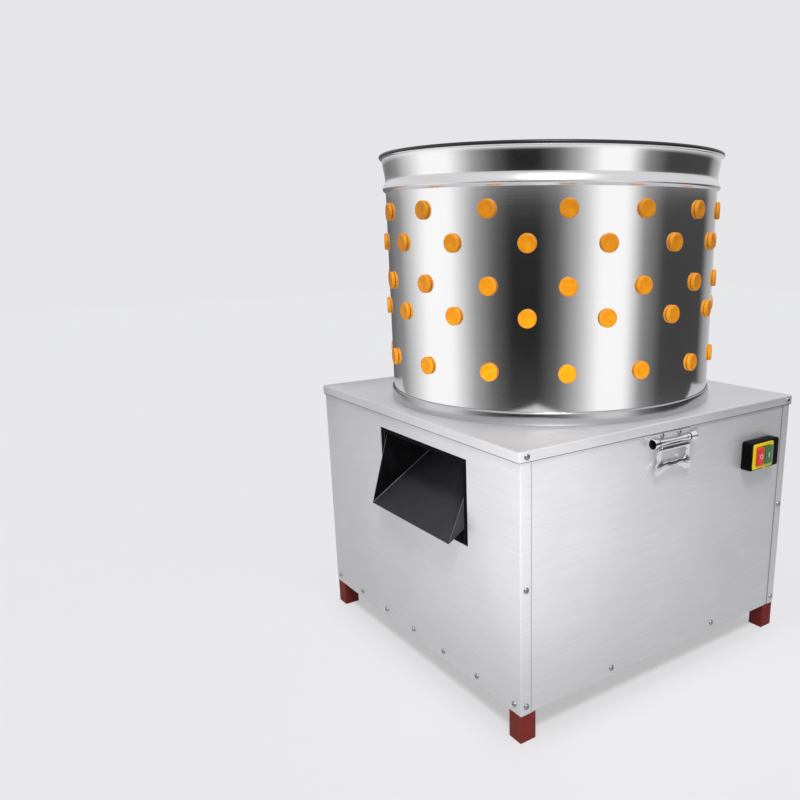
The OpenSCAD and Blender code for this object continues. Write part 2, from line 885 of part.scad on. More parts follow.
module terminal_box() {
    color(iron) difference() {
        translate([drive_centres - terminal_w / 2, 0, motor_mid_z - terminal_w / 2])
            cube([terminal_w, motor_r + terminal_out, terminal_w]);
        translate([drive_centres, 0, motor_z]) cylinder(r = motor_r + snug, h = motor_len);
    }
}

module run_capacitor() {
    color("DimGray") difference() {
        union() {
            translate([drive_centres, -capacitor_y, motor_mid_z - capacitor_len / 2])
                cylinder(d = capacitor_d, h = capacitor_len);
            translate([drive_centres - saddle_w / 2, -capacitor_y, motor_mid_z - capacitor_len / 3])
                cube([saddle_w, capacitor_y, capacitor_len * 2 / 3]);
        }
        translate([drive_centres, 0, motor_z]) cylinder(r = motor_r + snug, h = motor_len);
    }
}

module motor_bolts() {
    color(chrome) at_motor_bolts() bolt(drive_plate_t + bell_grip);
}

// The closed outline that a belt takes round both pulleys, at a distance from their cores
function belt_points(away) = concat(
    [
        for (i = [0:belt_steps])
            let (a = belt_turn + (360 - 2 * belt_turn) * i / belt_steps)
                (driven_core + away) * [cos(a), sin(a)]
    ],
    [
        for (i = [0:belt_steps])
            let (a = -belt_turn + 2 * belt_turn * i / belt_steps)
                [drive_centres, 0] + (driver_core + away) * [cos(a), sin(a)]
    ]
);

module drive_belts() {
    color("#222222") for (i = [0:belts - 1])
        translate([0, 0, pulley_z + (i + 0.5) * groove_pitch - belt_w / 2])
            linear_extrude(belt_w) difference() {
                polygon(belt_points(room + belt_t));
                polygon(belt_points(room));
            }
}

module pulley(d, bore) {
    difference() {
        cylinder(d = d, h = pulley_h, $fn = 128);
        for (i = [0:belts - 1])
            translate([0, 0, (i + 0.5) * groove_pitch - groove_w / 2])
                sleeve(d / 2 + over, d / 2 - groove_depth, groove_w);
        translate([0, 0, -over]) cylinder(r = bore, h = pulley_h + 2 * over);
    }
}

// Cable gland, on the right panel

module cable_gland() {
    color("#222222") translate([panel_face, gland_y, gland_z]) rotate([0, 90, 0]) difference() {
        union() {
            translate([0, 0, -panel_t - 12]) cylinder(d = gland_d, h = 24);
            cylinder(d = gland_d * 1.6, h = 7, $fn = 6);
            translate([0, 0, -panel_t - 6]) cylinder(d = gland_d * 1.6, h = 6, $fn = 6);
            translate([0, 0, 7]) cylinder(d1 = gland_d * 1.4, d2 = gland_d * 0.8, h = 16);
        }
        translate([0, 0, -panel_t - 12 - over]) cylinder(d = gland_d * 0.5, h = 60);
    }
}

// Switch

module at_switch(x, depth) {
    translate([x, -panel_face - depth, switch_z]) children();
}

module switch_box() {
    window = [2 * (button_w + button_flange) + button_gap + 4, button_h + 2 * button_flange + 4];
    color("#161616") difference() {
        at_switch(switch_x - switch_w / 2, switch_depth) translate([0, 0, -switch_h / 2])
            cube([switch_w, switch_depth, switch_h]);
        at_switch(switch_x - switch_w / 2 + switch_wall, switch_depth - switch_wall)
            translate([0, 0, switch_wall - switch_h / 2])
                cube([switch_w - 2 * switch_wall, switch_depth, switch_h - 2 * switch_wall]);
        at_switch(face_x - window[0] / 2, switch_depth + over) translate([0, 0, -window[1] / 2])
            cube([window[0], switch_wall + 2 * over, window[1]]);
    }
}

module switch_contact_block() {
    depth = switch_depth - button_flange_t - button_travel - room;
    color("Ivory") at_switch(face_x - button_w - button_gap, depth)
        translate([0, 0, -button_h / 2 + 2])
            cube([2 * (button_w + button_gap), depth, button_h - 4]);
}

// Children at the red button (side -1) and the green one (side 1)
module at_button(side) {
    at_switch(face_x + side * (button_w + button_gap) / 2, switch_depth) children();
}

module switch_plate() {
    color("#FFD91A") difference() {
        at_switch(face_x - face_w / 2, switch_depth + face_t) translate([0, 0, -face_h / 2])
            cube([face_w, face_t, face_h]);
        for (side = [-1, 1])
            at_button(side) translate([-button_w / 2 - room, -face_t - over, -button_h / 2 - room])
                cube([button_w + 2 * room, face_t + 2 * over, button_h + 2 * room]);
    }
}

module button(side) {
    at_button(side) {
        translate([-button_w / 2, -face_t - button_out, -button_h / 2])
            cube([button_w, face_t + button_out + room, button_h]);
        translate([-button_w / 2 - button_flange / 2, room, -button_h / 2 - button_flange])
            cube([button_w + button_flange, button_flange_t - room, button_h + 2 * button_flange]);
    }
}

module stop_button() { color("#D9302A") button(-1); }
module start_button() { color("#2E7A3C") button(1); }

// Carrying handles: drawn for the front, with X from the handle's middle and Y out of the cabinet

module on_face(side) {
    rotate([0, 0, side > 0 ? 180 : 0]) translate([side > 0 ? -handle_x : handle_x, 0, 0]) children();
}

// The plate on the panel: full width at the hinge, a narrower waist, and round ears at its foot
module handle_plate() {
    difference() {
        union() {
            translate([0, -panel_face, 0]) rotate([90, 0, 0]) linear_extrude(handle_plate_t) {
                translate([-hinge_len / 2, hinge_z - knuckle_d / 2])
                    square([hinge_len, handle_top - hinge_z + knuckle_d / 2]);
                translate([-waist_w / 2, ear_z]) square([waist_w, handle_top - ear_z]);
                for (side = [-1, 1]) translate([side * ear_x, ear_z]) circle(r = ear_r);
            }
            for (side = [-1, 1]) {
                translate([side * (hinge_len - knuckle_len) / 2, -hinge_y, hinge_z]) rotate([0, 90, 0])
                    cylinder(d = knuckle_d, h = knuckle_len, center = true);
                translate([side * (hinge_len - knuckle_len) / 2 - knuckle_len / 2, -hinge_y, hinge_z - 3])
                    cube([knuckle_len, hinge_y - panel_face, 6]);
            }
            translate([0, -hinge_y, hinge_z]) rotate([0, 90, 0])
                cylinder(d = pin_d, h = hinge_len - knuckle_len, center = true);
        }
        for (side = [-1, 1]) {
            translate([side * hinge_len / 2, -hinge_y, hinge_z]) rotate([0, 90, 0])
                cylinder(d = knuckle_d - 4, h = knuckle_len, center = true);
            translate([side * rivet_x, -panel_face - handle_plate_t, rivet_z]) rotate([90, 0, 0])
                cylinder(d = screw_d + 2 * snug, h = 3 * handle_plate_t, center = true);
        }
    }
}

module handle_plates() {
    color(chrome) for (face = [-1, 1]) on_face(face) handle_plate();
}

module handle_rivets() {
    color(chrome) for (face = [-1, 1]) on_face(face) for (side = [-1, 1])
        translate([side * rivet_x, -panel_face - handle_plate_t, rivet_z]) rotate([90, 0, 0]) {
            cylinder(d1 = 8, d2 = 5, h = 2, $fn = 32);
            translate([0, 0, -handle_plate_t]) cylinder(d = screw_d, h = handle_plate_t + 0.1, $fn = 24);
        }
}

// The bail hangs from the hinge: a plate with a window, an arched grip and round lower corners
module bail() {
    corner = 8;
    bottom = -bail_drop;
    arch_r = (pow(window_w / 2, 2) + pow(grip_arch, 2)) / (2 * grip_arch);
    difference() {
        union() {
            rotate([0, 90, 0]) cylinder(d = knuckle_d, h = bail_knuckle, center = true);
            translate([0, bail_t / 2, 0]) rotate([90, 0, 0]) linear_extrude(bail_t) difference() {
                union() {
                    translate([-bail_knuckle / 2, -knuckle_d]) square([bail_knuckle, knuckle_d]);
                    translate([-bail_w / 2, bottom + corner])
                        square([bail_w, bail_drop - corner - knuckle_d / 2 - over]);
                    translate([-bail_w / 2 + corner, bottom]) square([bail_w - 2 * corner, 2 * corner]);
                    for (side = [-1, 1])
                        translate([side * (bail_w / 2 - corner), bottom + corner]) circle(r = corner);
                }
                translate([-window_w / 2, bottom + grip_h]) square([window_w, window_h]);
                translate([0, bottom + grip_arch - arch_r]) circle(r = arch_r);
            }
        }
        rotate([0, 90, 0]) cylinder(r = pin_d / 2 + running, h = hinge_len, center = true);
    }
}

module front_handle_bail() { color(chrome) on_face(-1) translate([0, -hinge_y, hinge_z]) bail(); }
module rear_handle_bail() { color(chrome) on_face(1) translate([0, -hinge_y, hinge_z]) bail(); }

// Turntable and its shaft

module turntable_plate() {
    color(steel) difference() {
        translate([0, 0, plate_z]) cylinder(r = plate_r, h = plate_t, $fn = 128);
        translate([0, 0, plate_z - over]) cylinder(r = shaft_r + snug, h = plate_t + 2 * over);
        at_plate_fingers() translate([0, 0, -plate_t - over]) cylinder(d = hole_d, h = plate_t + 2 * over);
        at_hub_bolts() bolt_hole(plate_t + over);
    }
}

module plate_fingers() {
    neck = plate_t + 2 * snug;
    color(rubber) at_plate_fingers() finger(neck, plate_finger_len + neck);
}

module turntable_hub() {
    color(iron) difference() {
        union() {
            translate([0, 0, plate_z - hub_flange_t]) cylinder(d = hub_d, h = hub_flange_t);
            translate([0, 0, boss_z]) cylinder(d = boss_d, h = plate_z - boss_z);
        }
        translate([0, 0, boss_z - over]) cylinder(r = shaft_r + snug, h = plate_z - boss_z + 2 * over);
        at_hub_bolts() bolt_hole(plate_t + hub_flange_t + over);
    }
}

module hub_bolts_group() {
    color(chrome) at_hub_bolts() bolt(plate_t + hub_flange_t);
}

module main_shaft() {
    color(chrome) {
        translate([0, 0, shaft_low]) cylinder(r = shaft_r, h = plate_top - shaft_low);
        translate([0, 0, plate_top - over]) cylinder(d = stud_d, h = stud_len + over);
    }
}

module cap_nut() {
    color(chrome) translate([0, 0, plate_top]) difference() {
        union() {
            cylinder(d = stud_d * 2.1, h = nut_h, $fn = 6);
            translate([0, 0, nut_h]) cylinder(d1 = stud_d * 1.7, d2 = stud_d * 0.8, h = nut_dome);
        }
        translate([0, 0, -over]) cylinder(d = stud_d + 2 * snug, h = stud_len + 2 * over);
    }
}

module driven_pulley() {
    color(iron) translate([0, 0, pulley_z]) pulley(driven_d, shaft_r + snug);
}

module sweep_paddles() {
    inner = hub_d / 2 + 4;
    color("#222222") for (i = [0:paddles - 1])
        rotate([0, 0, i * 360 / paddles]) translate([inner, -paddle_t / 2, plate_z - paddle_drop])
            cube([paddle_out - inner, paddle_t, paddle_drop]);
}

// Motor rotor

module motor_rotor() {
    color(chrome) translate([drive_centres, 0, 0]) {
        translate([0, 0, cowl_z + 8]) cylinder(r = motor_shaft_r, h = pulley_z + pulley_h + 2 - cowl_z - 8);
        translate([0, 0, motor_z + 12]) cylinder(d = rotor_d, h = motor_len - 16);
    }
}

module motor_pulley() {
    color(iron) translate([drive_centres, 0, pulley_z]) pulley(driver_d, motor_shaft_r + snug);
}

module motor_fan() {
    fan_h = cowl_len - 2 * fan_gap;
    color("#333333") translate([drive_centres, 0, cowl_z + fan_gap]) {
        sleeve(fan_hub, motor_shaft_r + snug, fan_h);
        for (i = [0:7])
            rotate([0, 0, i * 45]) translate([fan_hub - over, -blade_t / 2, 0])
                cube([motor_r - fan_gap - fan_hub, blade_t, fan_h]);
    }
}

front_left_leg();
front_right_leg();
rear_left_leg();
rear_right_leg();
top_rails();
bottom_rails();
drive_rails();
drive_crossbars();
bearing_rails();
bearing_crossbars();
bearing_plate();
drive_plate();
front_panel();
rear_panel();
left_panel();
right_panel();
deck();
panel_screws();
feather_tray();
chute_floor();
chute_cheeks();
barrel_shell();
barrel_base_ring();
wall_fingers_row_1();
wall_fingers_row_2();
wall_fingers_row_3();
wall_fingers_row_4();
wall_fingers_row_5();
bearing_housings();
shaft_bearings();
bearing_bolts();
motor_body();
motor_end_bell();
fan_cowl();
terminal_box();
run_capacitor();
motor_bolts();
drive_belts();
cable_gland();
switch_box();
switch_contact_block();
switch_plate();
stop_button();
start_button();
handle_plates();
handle_rivets();
turntable_plate();
plate_fingers();
turntable_hub();
hub_bolts_group();
main_shaft();
cap_nut();
driven_pulley();
sweep_paddles();
motor_rotor();
motor_pulley();
motor_fan();
front_handle_bail();
rear_handle_bail();
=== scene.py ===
# %% [markdown]
# # A drum poultry plucker
# A bright steel barrel, studded with rubber fingers, stands on a square cabinet. A fingered
# turntable spins inside it, and feathers leave through a chute in the left side.
# The solids come finished from CAD, so this lesson only gives them their looks: it loads them as
# a fixed frame, replaces what the eye rests on with finer meshes, and gives every piece a finish.

import json
import math

import bmesh
import bpy
from mathutils import Matrix, Vector


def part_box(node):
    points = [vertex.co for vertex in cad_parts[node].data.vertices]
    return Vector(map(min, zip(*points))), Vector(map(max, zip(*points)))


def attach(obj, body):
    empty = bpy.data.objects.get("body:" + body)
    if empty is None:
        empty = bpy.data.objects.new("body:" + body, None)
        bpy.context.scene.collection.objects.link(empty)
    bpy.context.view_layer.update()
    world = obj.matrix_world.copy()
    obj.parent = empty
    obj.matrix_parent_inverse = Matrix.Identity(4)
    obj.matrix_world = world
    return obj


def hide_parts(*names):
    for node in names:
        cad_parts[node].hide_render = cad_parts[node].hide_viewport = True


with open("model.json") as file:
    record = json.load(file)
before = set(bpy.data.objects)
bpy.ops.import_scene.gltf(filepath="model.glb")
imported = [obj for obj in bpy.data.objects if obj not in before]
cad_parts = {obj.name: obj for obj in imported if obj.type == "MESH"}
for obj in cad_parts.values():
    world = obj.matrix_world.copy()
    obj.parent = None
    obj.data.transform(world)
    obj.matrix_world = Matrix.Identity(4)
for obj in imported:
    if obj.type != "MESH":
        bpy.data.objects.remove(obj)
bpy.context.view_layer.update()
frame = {"nodes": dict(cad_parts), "record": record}
NODES = frame["nodes"]
MM = 0.001
scene = bpy.context.scene
scene.view_settings.view_transform = "Standard"

# %% [markdown]
# ## The camera
# The photograph looks down a little, from the front left corner. A camera can be aimed by eye,
# but here its place was fitted to corners of the cabinet and edges of the barrel, so its numbers
# are kept as they came out: a place, three angles, a focal length and the shift of the picture.

# %% Camera
CAMERA_AT = Vector((-931.4, -1116.5, 738.4)) * MM
CAMERA_YAW = 52.32
CAMERA_PITCH = -15.14
CAMERA_ROLL = -0.22
CAMERA_LENS = 35.68
CAMERA_SENSOR = 36
CAMERA_SHIFT = (-0.15, 0.0565)


def placed(name, data):
    """A new object in the scene, at the origin."""
    made = bpy.data.objects.new(name, data)
    scene.collection.objects.link(made)
    return made


camera = placed("camera", bpy.data.cameras.new("camera"))
camera.data.lens = CAMERA_LENS
camera.data.sensor_width = CAMERA_SENSOR
camera.data.shift_x, camera.data.shift_y = CAMERA_SHIFT
turn = Matrix.Rotation(math.radians(CAMERA_YAW - 90), 4, "Z")
tilt = Matrix.Rotation(math.radians(90 + CAMERA_PITCH), 4, "X")
roll = Matrix.Rotation(math.radians(CAMERA_ROLL), 4, "Z")
camera.matrix_world = Matrix.Translation(CAMERA_AT) @ turn @ tilt @ roll
scene.camera = camera
print("camera at", tuple(round(v, 3) for v in CAMERA_AT))

# %% [markdown]
# ## Nodes and colours
# Finishes and repeated shapes are both node trees. Three small helpers serve them all: one turns
# a colour as a painter writes it, sRGB hex, into the linear numbers that the shader mixes, one
# fills a node's sockets with values or links, and one adds a node with its settings and sockets.

# %% Node helpers
def linear(code):
    """The linear colour, with a full alpha, of an sRGB hex code."""
    parts = [int(code[i:i + 2], 16) / 255 for i in (1, 3, 5)]
    return tuple(c / 12.92 if c <= 0.04045 else ((c + 0.055) / 1.055) ** 2.4 for c in parts) + (1.0,)


def plug(tree, node, sockets):
    """Fills sockets, by name or number, with values or links; a node stands for its first output."""
    for key, value in sockets.items():
        if isinstance(value, bpy.types.Node):
            value = value.outputs[0]
        if isinstance(value, bpy.types.NodeSocket):
            tree.links.new(value, node.inputs[key])
        else:
            node.inputs[key].default_value = value


def add(tree, kind, sockets=None, **settings):
    """Adds a node: settings are its properties, and sockets its values and links."""
    made = tree.nodes.new(kind)
    for name, value in settings.items():
        setattr(made, name, value)
    plug(tree, made, sockets or {})
    return made


def per_mm(size):
    """The pattern scale, per metre, whose features are about this many millimetres."""
    return 1 / (size * MM)


print("white is", linear("#FFFFFF"))

# %% [markdown]
# ## The stage
# A plain pale floor carries the shadow, a pale world fills it, and one large soft lamp models
# the shapes. A narrow spot makes the cabinet's near corner brighter than the panels' far ends.
# The floor gets a little glow that only the camera sees, so it looks pale and bounces less light.
# Polished steel shows only what stands round it, so a wide ring of pale and dark screens stands
# off the object, as in a product studio. Only reflections see the ring: it lights nothing and
# hides nothing.

# %% Floor
FLOOR_HALF = 8.0
FLOOR_LIFT = 0.48


def screen_material(name):
    """A new material with an empty tree."""
    made = bpy.data.materials.new(name)
    made.use_nodes = True
    made.node_tree.nodes.clear()
    return made, made.node_tree


def stage_piece(name, points, faces, finish):
    """A sheet of the stage, which isn't part of the object."""
    mesh = bpy.data.meshes.new(name)
    mesh.from_pydata(points, [], faces)
    mesh.materials.append(finish)
    made = placed(name, mesh)
    return made


paper, tree = screen_material("studio_paper")
shade = add(tree, "ShaderNodeBsdfDiffuse", {"Color": linear("#BEBEC0")})
pale = add(tree, "ShaderNodeEmission", {"Color": linear("#DADADC"), "Strength": 1.0})
ray = add(tree, "ShaderNodeLightPath").outputs
lift = add(tree, "ShaderNodeMath", {0: ray["Is Camera Ray"], 1: FLOOR_LIFT}, operation="MULTIPLY")
glow = add(tree, "ShaderNodeEmission", {"Color": linear("#F4F4F5"), "Strength": lift})
lifted = add(tree, "ShaderNodeAddShader", {0: shade, 1: glow})
mixed = add(tree, "ShaderNodeMixShader", {0: ray["Is Glossy Ray"], 1: lifted, 2: pale})
add(tree, "ShaderNodeOutputMaterial", {"Surface": mixed})
floor_corners = [(x * FLOOR_HALF, y * FLOOR_HALF, 0) for x, y in ((-1, -1), (1, -1), (1, 1), (-1, 1))]
stage_piece("floor", floor_corners, [(0, 1, 2, 3)], paper)
print("floor", 2 * FLOOR_HALF, "m wide")

# %% World
WORLD_LEVEL = 0.38

world = bpy.data.worlds.new("pale_room")
world.use_nodes = True
tree = world.node_tree
filling = tree.nodes["Background"]
plug(tree, filling, {"Color": linear("#F2F3F5"), "Strength": WORLD_LEVEL})
backdrop = add(tree, "ShaderNodeBackground", {"Color": linear("#E6E6E8"), "Strength": 1.0})
ray = add(tree, "ShaderNodeLightPath").outputs
seen = add(tree, "ShaderNodeMath", {0: ray["Is Camera Ray"], 1: ray["Is Glossy Ray"]}, operation="MAXIMUM")
room = add(tree, "ShaderNodeMixShader", {0: seen, 1: filling, 2: backdrop})
plug(tree, tree.nodes["World Output"], {"Surface": room})
scene.world = world
print("world at level", WORLD_LEVEL)

# %% Lamps
LAMP_AT = Vector((-1.4, -1.9, 4.1))
LAMP_AIM = Vector((0, 0, 0.4))
LAMP_SOFT = math.radians(14)
LAMP_LEVEL = 1.4
CORNER_LAMP_AT = Vector((-1.05, -1.15, 0.32))
CORNER_LAMP_AIM = Vector((-0.31, -0.31, 0.38))
CORNER_LAMP_CONE = math.radians(34)
CORNER_LAMP_SOFT = 0.2
CORNER_LAMP_LEVEL = 85


def aimed_lamp(name, kind, place, aim, level):
    """A lamp that shines from a place towards an aim."""
    lamp = placed(name, bpy.data.lights.new(name, kind))
    lamp.data.energy = level
    lamp.location = place
    lamp.rotation_euler = (aim - place).to_track_quat("-Z", "Y").to_euler()
    return lamp


soft_lamp = aimed_lamp("soft_lamp", "SUN", LAMP_AT, LAMP_AIM, LAMP_LEVEL)
soft_lamp.data.angle = LAMP_SOFT
corner_lamp = aimed_lamp("corner_lamp", "SPOT", CORNER_LAMP_AT, CORNER_LAMP_AIM, CORNER_LAMP_LEVEL)
corner_lamp.data.spot_size = CORNER_LAMP_CONE
corner_lamp.data.spot_blend = 1.0
corner_lamp.data.shadow_soft_size = CORNER_LAMP_SOFT
corner_lamp.visible_glossy = False
print("lamps at levels", LAMP_LEVEL, "and", CORNER_LAMP_LEVEL)

# %% Ring of screens for the reflections
SCREEN_R = 2.0
SCREEN_FOOT = 0.001
SCREEN_TOP = 1.2
SCREEN_FADE = 0.85
SCREEN_SIDES = 96
SCREENS = [(0, "#9A9A9B"), (36, "#DADADB"), (60, "#6E6E6F"), (88, "#68686A"), (112, "#8C8C8D"),
           (130, "#D4D4D5"), (144, "#FFFFFF"), (165, "#FFFFFF"), (183, "#9A9A9B"), (196, "#5A5A5B"),
           (207, "#262627"), (223, "#242425"), (235, "#5E5E5F"), (247, "#B0B0B1"), (261, "#FFFFFF"),
           (278, "#FFFFFF"), (290, "#8A8A8B"), (306, "#404041"), (350, "#444445"), (360, "#9A9A9B")]

screens, tree = screen_material("reflection_screens")
place = add(tree, "ShaderNodeTexCoord").outputs["Object"]
split = add(tree, "ShaderNodeSeparateXYZ", {0: place}).outputs
angle = add(tree, "ShaderNodeMath", {0: split["Y"], 1: split["X"]}, operation="ARCTAN2")
wrapped = add(tree, "ShaderNodeMath", {0: angle, 1: 2 * math.pi, 2: 0.0}, operation="WRAP")
share = add(tree, "ShaderNodeMath", {0: wrapped, 1: 2 * math.pi}, operation="DIVIDE")
bands = add(tree, "ShaderNodeValToRGB", {"Fac": share})
stops = bands.color_ramp.elements
while len(stops) < len(SCREENS):
    stops.new(0.5)
for stop, (degrees, code) in zip(stops, SCREENS):
    stop.position = degrees / 360
    stop.color = linear(code)
fade = add(tree, "ShaderNodeMapRange", {"Value": split["Z"], "From Min": SCREEN_FADE, "From Max": SCREEN_TOP})
paling = add(tree, "ShaderNodeMix", {0: fade, 6: bands.outputs["Color"], 7: linear("#F0F0F1")},
             data_type="RGBA")
glow = add(tree, "ShaderNodeEmission", {"Color": paling.outputs[2], "Strength": 1.0})
add(tree, "ShaderNodeOutputMaterial", {"Surface": glow})

around = [2 * math.pi * i / SCREEN_SIDES for i in range(SCREEN_SIDES)]
posts = [(SCREEN_R * math.cos(a), SCREEN_R * math.sin(a), z)
         for z in (SCREEN_FOOT, SCREEN_TOP) for a in around]
faces = []
for i in range(SCREEN_SIDES):
    j = (i + 1) % SCREEN_SIDES
    faces.append((i, j, SCREEN_SIDES + j, SCREEN_SIDES + i))
ring = stage_piece("reflection_ring", posts, faces, screens)
for kind in ("camera", "diffuse", "shadow", "transmission"):
    setattr(ring, "visible_" + kind, False)
print("ring of screens:", len(SCREENS), "stops")

# %% [markdown]
# ## Steel finishes
# The cabinet is 430 stainless sheet with a brushed finish: long, faint, parallel scratches blur
# reflections into soft light and dark streaks. Noise squeezed along one axis draws them. The
# barrel is the same steel, polished until it mirrors the room, with only a trace of the rolling
# lines left. One function makes both, with the scratch width, its length and the gloss as sizes.

# %% Brushed and polished stainless steel
SHEET_CLOUD = 140
SHEET_SWAY = 210
SCRATCH_RELIEF = 0.1


def plain_material(name):
    """A new material with its surface shader, its tree and its Object coordinates."""
    made = bpy.data.materials.new(name)
    made.use_nodes = True
    tree = made.node_tree
    shader = tree.nodes["Principled BSDF"]
    place = add(tree, "ShaderNodeTexCoord").outputs["Object"]
    return made, tree, shader, place


def steel(name, light, dark, gloss, spread, scratch, length, across, depth, wave=0.0, metallic=1.0):
    """Bare steel: scratches lie in the plane of the sheet, fine along the axis called across."""
    made, tree, shader, place = plain_material(name)
    stretch = tuple(per_mm(scratch) if axis == across else per_mm(length) for axis in "xyz")
    squeezed = add(tree, "ShaderNodeMapping", {"Vector": place, "Scale": stretch})
    lines = add(tree, "ShaderNodeTexNoise", {"Vector": squeezed, "Scale": 1.0, "Detail": 4.0,
                                             "Roughness": 0.6}).outputs["Fac"]
    cloud = add(tree, "ShaderNodeTexNoise", {"Vector": place, "Scale": per_mm(SHEET_CLOUD), "Detail": 2.0})
    both = add(tree, "ShaderNodeMath", {0: lines, 1: cloud.outputs["Fac"]}, operation="ADD")
    blend = add(tree, "ShaderNodeMath", {0: both, 1: 0.5}, operation="MULTIPLY")
    tint = add(tree, "ShaderNodeMix", {0: blend, 6: linear(dark), 7: linear(light)}, data_type="RGBA")
    rough = add(tree, "ShaderNodeMapRange", {"Value": blend, "From Min": 0.25, "From Max": 0.75,
                                             "To Min": gloss - spread, "To Max": gloss + spread})
    relief = add(tree, "ShaderNodeBump", {"Height": lines, "Strength": depth,
                                          "Distance": SCRATCH_RELIEF * MM})
    if wave:
        sway = add(tree, "ShaderNodeTexNoise", {"Vector": place, "Scale": per_mm(SHEET_SWAY), "Detail": 1.0})
        relief = add(tree, "ShaderNodeBump", {"Height": sway.outputs["Fac"], "Strength": 1.0,
                                              "Distance": wave * MM, "Normal": relief})
    plug(tree, shader, {"Metallic": metallic, "Base Color": tint.outputs[2], "Roughness": rough,
                        "Normal": relief})
    return made


print("steel finish ready")

# %% Steels of the machine
# Brushed sheet: light grey, soft streaks that run level round the cabinet.
# The real scratches are about 0.1 mm wide, too fine to show, so they are drawn coarser.
# They scatter some light every way, so the sheet isn't wholly a mirror and takes soft shadows.
BRUSHED = steel("brushed_stainless", "#EEEEEF", "#C9C9CB", 0.42, 0.09, 3.2, 80, "z", 0.25, 1.2, 0.45)
DECK_STEEL = steel("brushed_stainless_deck", "#EEEEEF", "#D0D0D2", 0.44, 0.08, 3.2, 80, "y", 0.25, 1.0, 0.45)
# A sheet's bare cut edge and a thin strip above it, dull and darker than its face: the strip is a painted
# shade line under the deck's lip.
LIP_EDGE_AND_SHADE_LINE = steel("cut_edge_and_painted_shade_line", "#8F8F91", "#79797B", 0.50, 0.06, 1.5, 20, "z", 0.10, 0.0, 0.5)
# A grey painted shade line along the flanges' free edges and their cut edge, paler than the one under the
# lip.
FLANGE_EDGE_AND_SHADE_LINE = steel("flange_edge_painted_shade_line", "#ABABAD", "#98989A", 0.48, 0.06, 1.5, 20, "z", 0.10, 0.0, 0.5)
# Polished sheet: mirrors the screens, with faint level rolling lines.
POLISHED = steel("polished_stainless", "#FDFDFD", "#F2F2F2", 0.13, 0.03, 2.5, 260, "z", 0.08)
# Rolled shapes of the barrel lose some of the polish: the bead stays pale, and the foot ring is painted
# greyer as painted shade against the deck.
SATIN = steel("satin_rolled_bead", "#F0F0F0", "#DCDCDD", 0.25, 0.05, 2.5, 260, "z", 0.08)
FOOT_STEEL_PAINTED_SHADE = steel("satin_foot_ring_painted_shade", "#D0D0D2", "#B8B8BA", 0.20, 0.04, 2.5, 260, "z", 0.08)
# The rolled top edge, painted dark as painted shade.
RIM_PAINTED_SHADE = steel("rolled_edge_painted_shade", "#4A4B4D", "#303133", 0.34, 0.06, 2.5, 60, "z", 0.10)
# Turned steel of shafts and bearings: bright, with rings from the lathe.
TURNED = steel("turned_steel", "#D6D7D9", "#B9BBBE", 0.26, 0.06, 0.8, 60, "z", 0.3)
# Zinc-plated fasteners: bright and a little cloudy.
ZINC = steel("zinc_plated_steel", "#C2C4C7", "#96999D", 0.24, 0.08, 1.2, 4, "z", 0.15)
# Chrome plate on the handles: nearly a mirror.
CHROME = steel("chrome_plate", "#FAFAFB", "#EBECEE", 0.14, 0.04, 1.5, 12, "x", 0.06)
# Nickel wash under the chrome, on the handle's back plate: paler and duller.
NICKEL = steel("dull_nickel_plate", "#DEDEDF", "#CACACC", 0.42, 0.06, 1.5, 12, "x", 0.10, metallic=0.5)
print("steels done:", len(bpy.data.materials), "materials so far")

# %% [markdown]
# ## Coated metal, castings, rubber and plastic
# The rest isn't bare steel. Paint, castings and moulded pieces share a plan: two tones mixed by
# a cloudy noise of a real size, a roughness that follows it, and a fine grain pressed in as bump.
# What differs is how coarse the grain is and how glossy the skin.

# %% Painted, cast and moulded finishes
def skin(name, light, dark, gloss, spread, cloud_mm, grain_mm, depth_mm, metallic=0.0, edge_wear_and_highlight=None, sheen=0.5):
    """A coated or moulded skin: clouds of two tones over a fine grain, with a paler tone on its edges: wear
    on paint, a painted highlight on rubber.
    """
    made, tree, shader, place = plain_material(name)
    clouds = add(tree, "ShaderNodeTexNoise", {"Vector": place, "Scale": per_mm(cloud_mm),
                                              "Detail": 4.0}).outputs["Fac"]
    grain = add(tree, "ShaderNodeTexNoise", {"Vector": place, "Scale": per_mm(grain_mm),
                                             "Detail": 2.0}).outputs["Fac"]
    tone = add(tree, "ShaderNodeMapRange", {"Value": clouds, "From Min": 0.3, "From Max": 0.7})
    tint = add(tree, "ShaderNodeMix", {0: tone, 6: linear(dark), 7: linear(light)}, data_type="RGBA")
    # Pale edges: real wear on the paints, a painted highlight on the rubber's rims.
    if edge_wear_and_highlight:
        bent = add(tree, "ShaderNodeNewGeometry").outputs["Pointiness"]
        wear_and_highlight_edges = add(tree, "ShaderNodeMapRange", {"Value": bent, "From Min": 0.52, "From Max": 0.62})
        patches = add(tree, "ShaderNodeMath", {0: wear_and_highlight_edges, 1: grain}, operation="MULTIPLY")
        tint = add(tree, "ShaderNodeMix", {0: patches, 6: tint.outputs[2], 7: linear(edge_wear_and_highlight)}, data_type="RGBA")
    rough = add(tree, "ShaderNodeMapRange", {"Value": clouds, "From Min": 0.3, "From Max": 0.7,
                                             "To Min": gloss - spread, "To Max": gloss + spread})
    relief = add(tree, "ShaderNodeBump", {"Height": grain, "Strength": 0.5, "Distance": depth_mm * MM})
    plug(tree, shader, {"Metallic": metallic, "Specular IOR Level": sheen, "Base Color": tint.outputs[2],
                        "Roughness": rough, "Normal": relief})
    return made


print("skin finish ready")

# %% Paints, castings, rubbers and plastics
# Red-oxide primer brushed on square tube: satin, a little patchy, worn to a paler red at edges.
OXIDE = skin("red_oxide_paint", "#84261F", "#6C1A15", 0.60, 0.07, 18, 1.6, 0.20, edge_wear_and_highlight="#9A3E34", sheen=0.2)
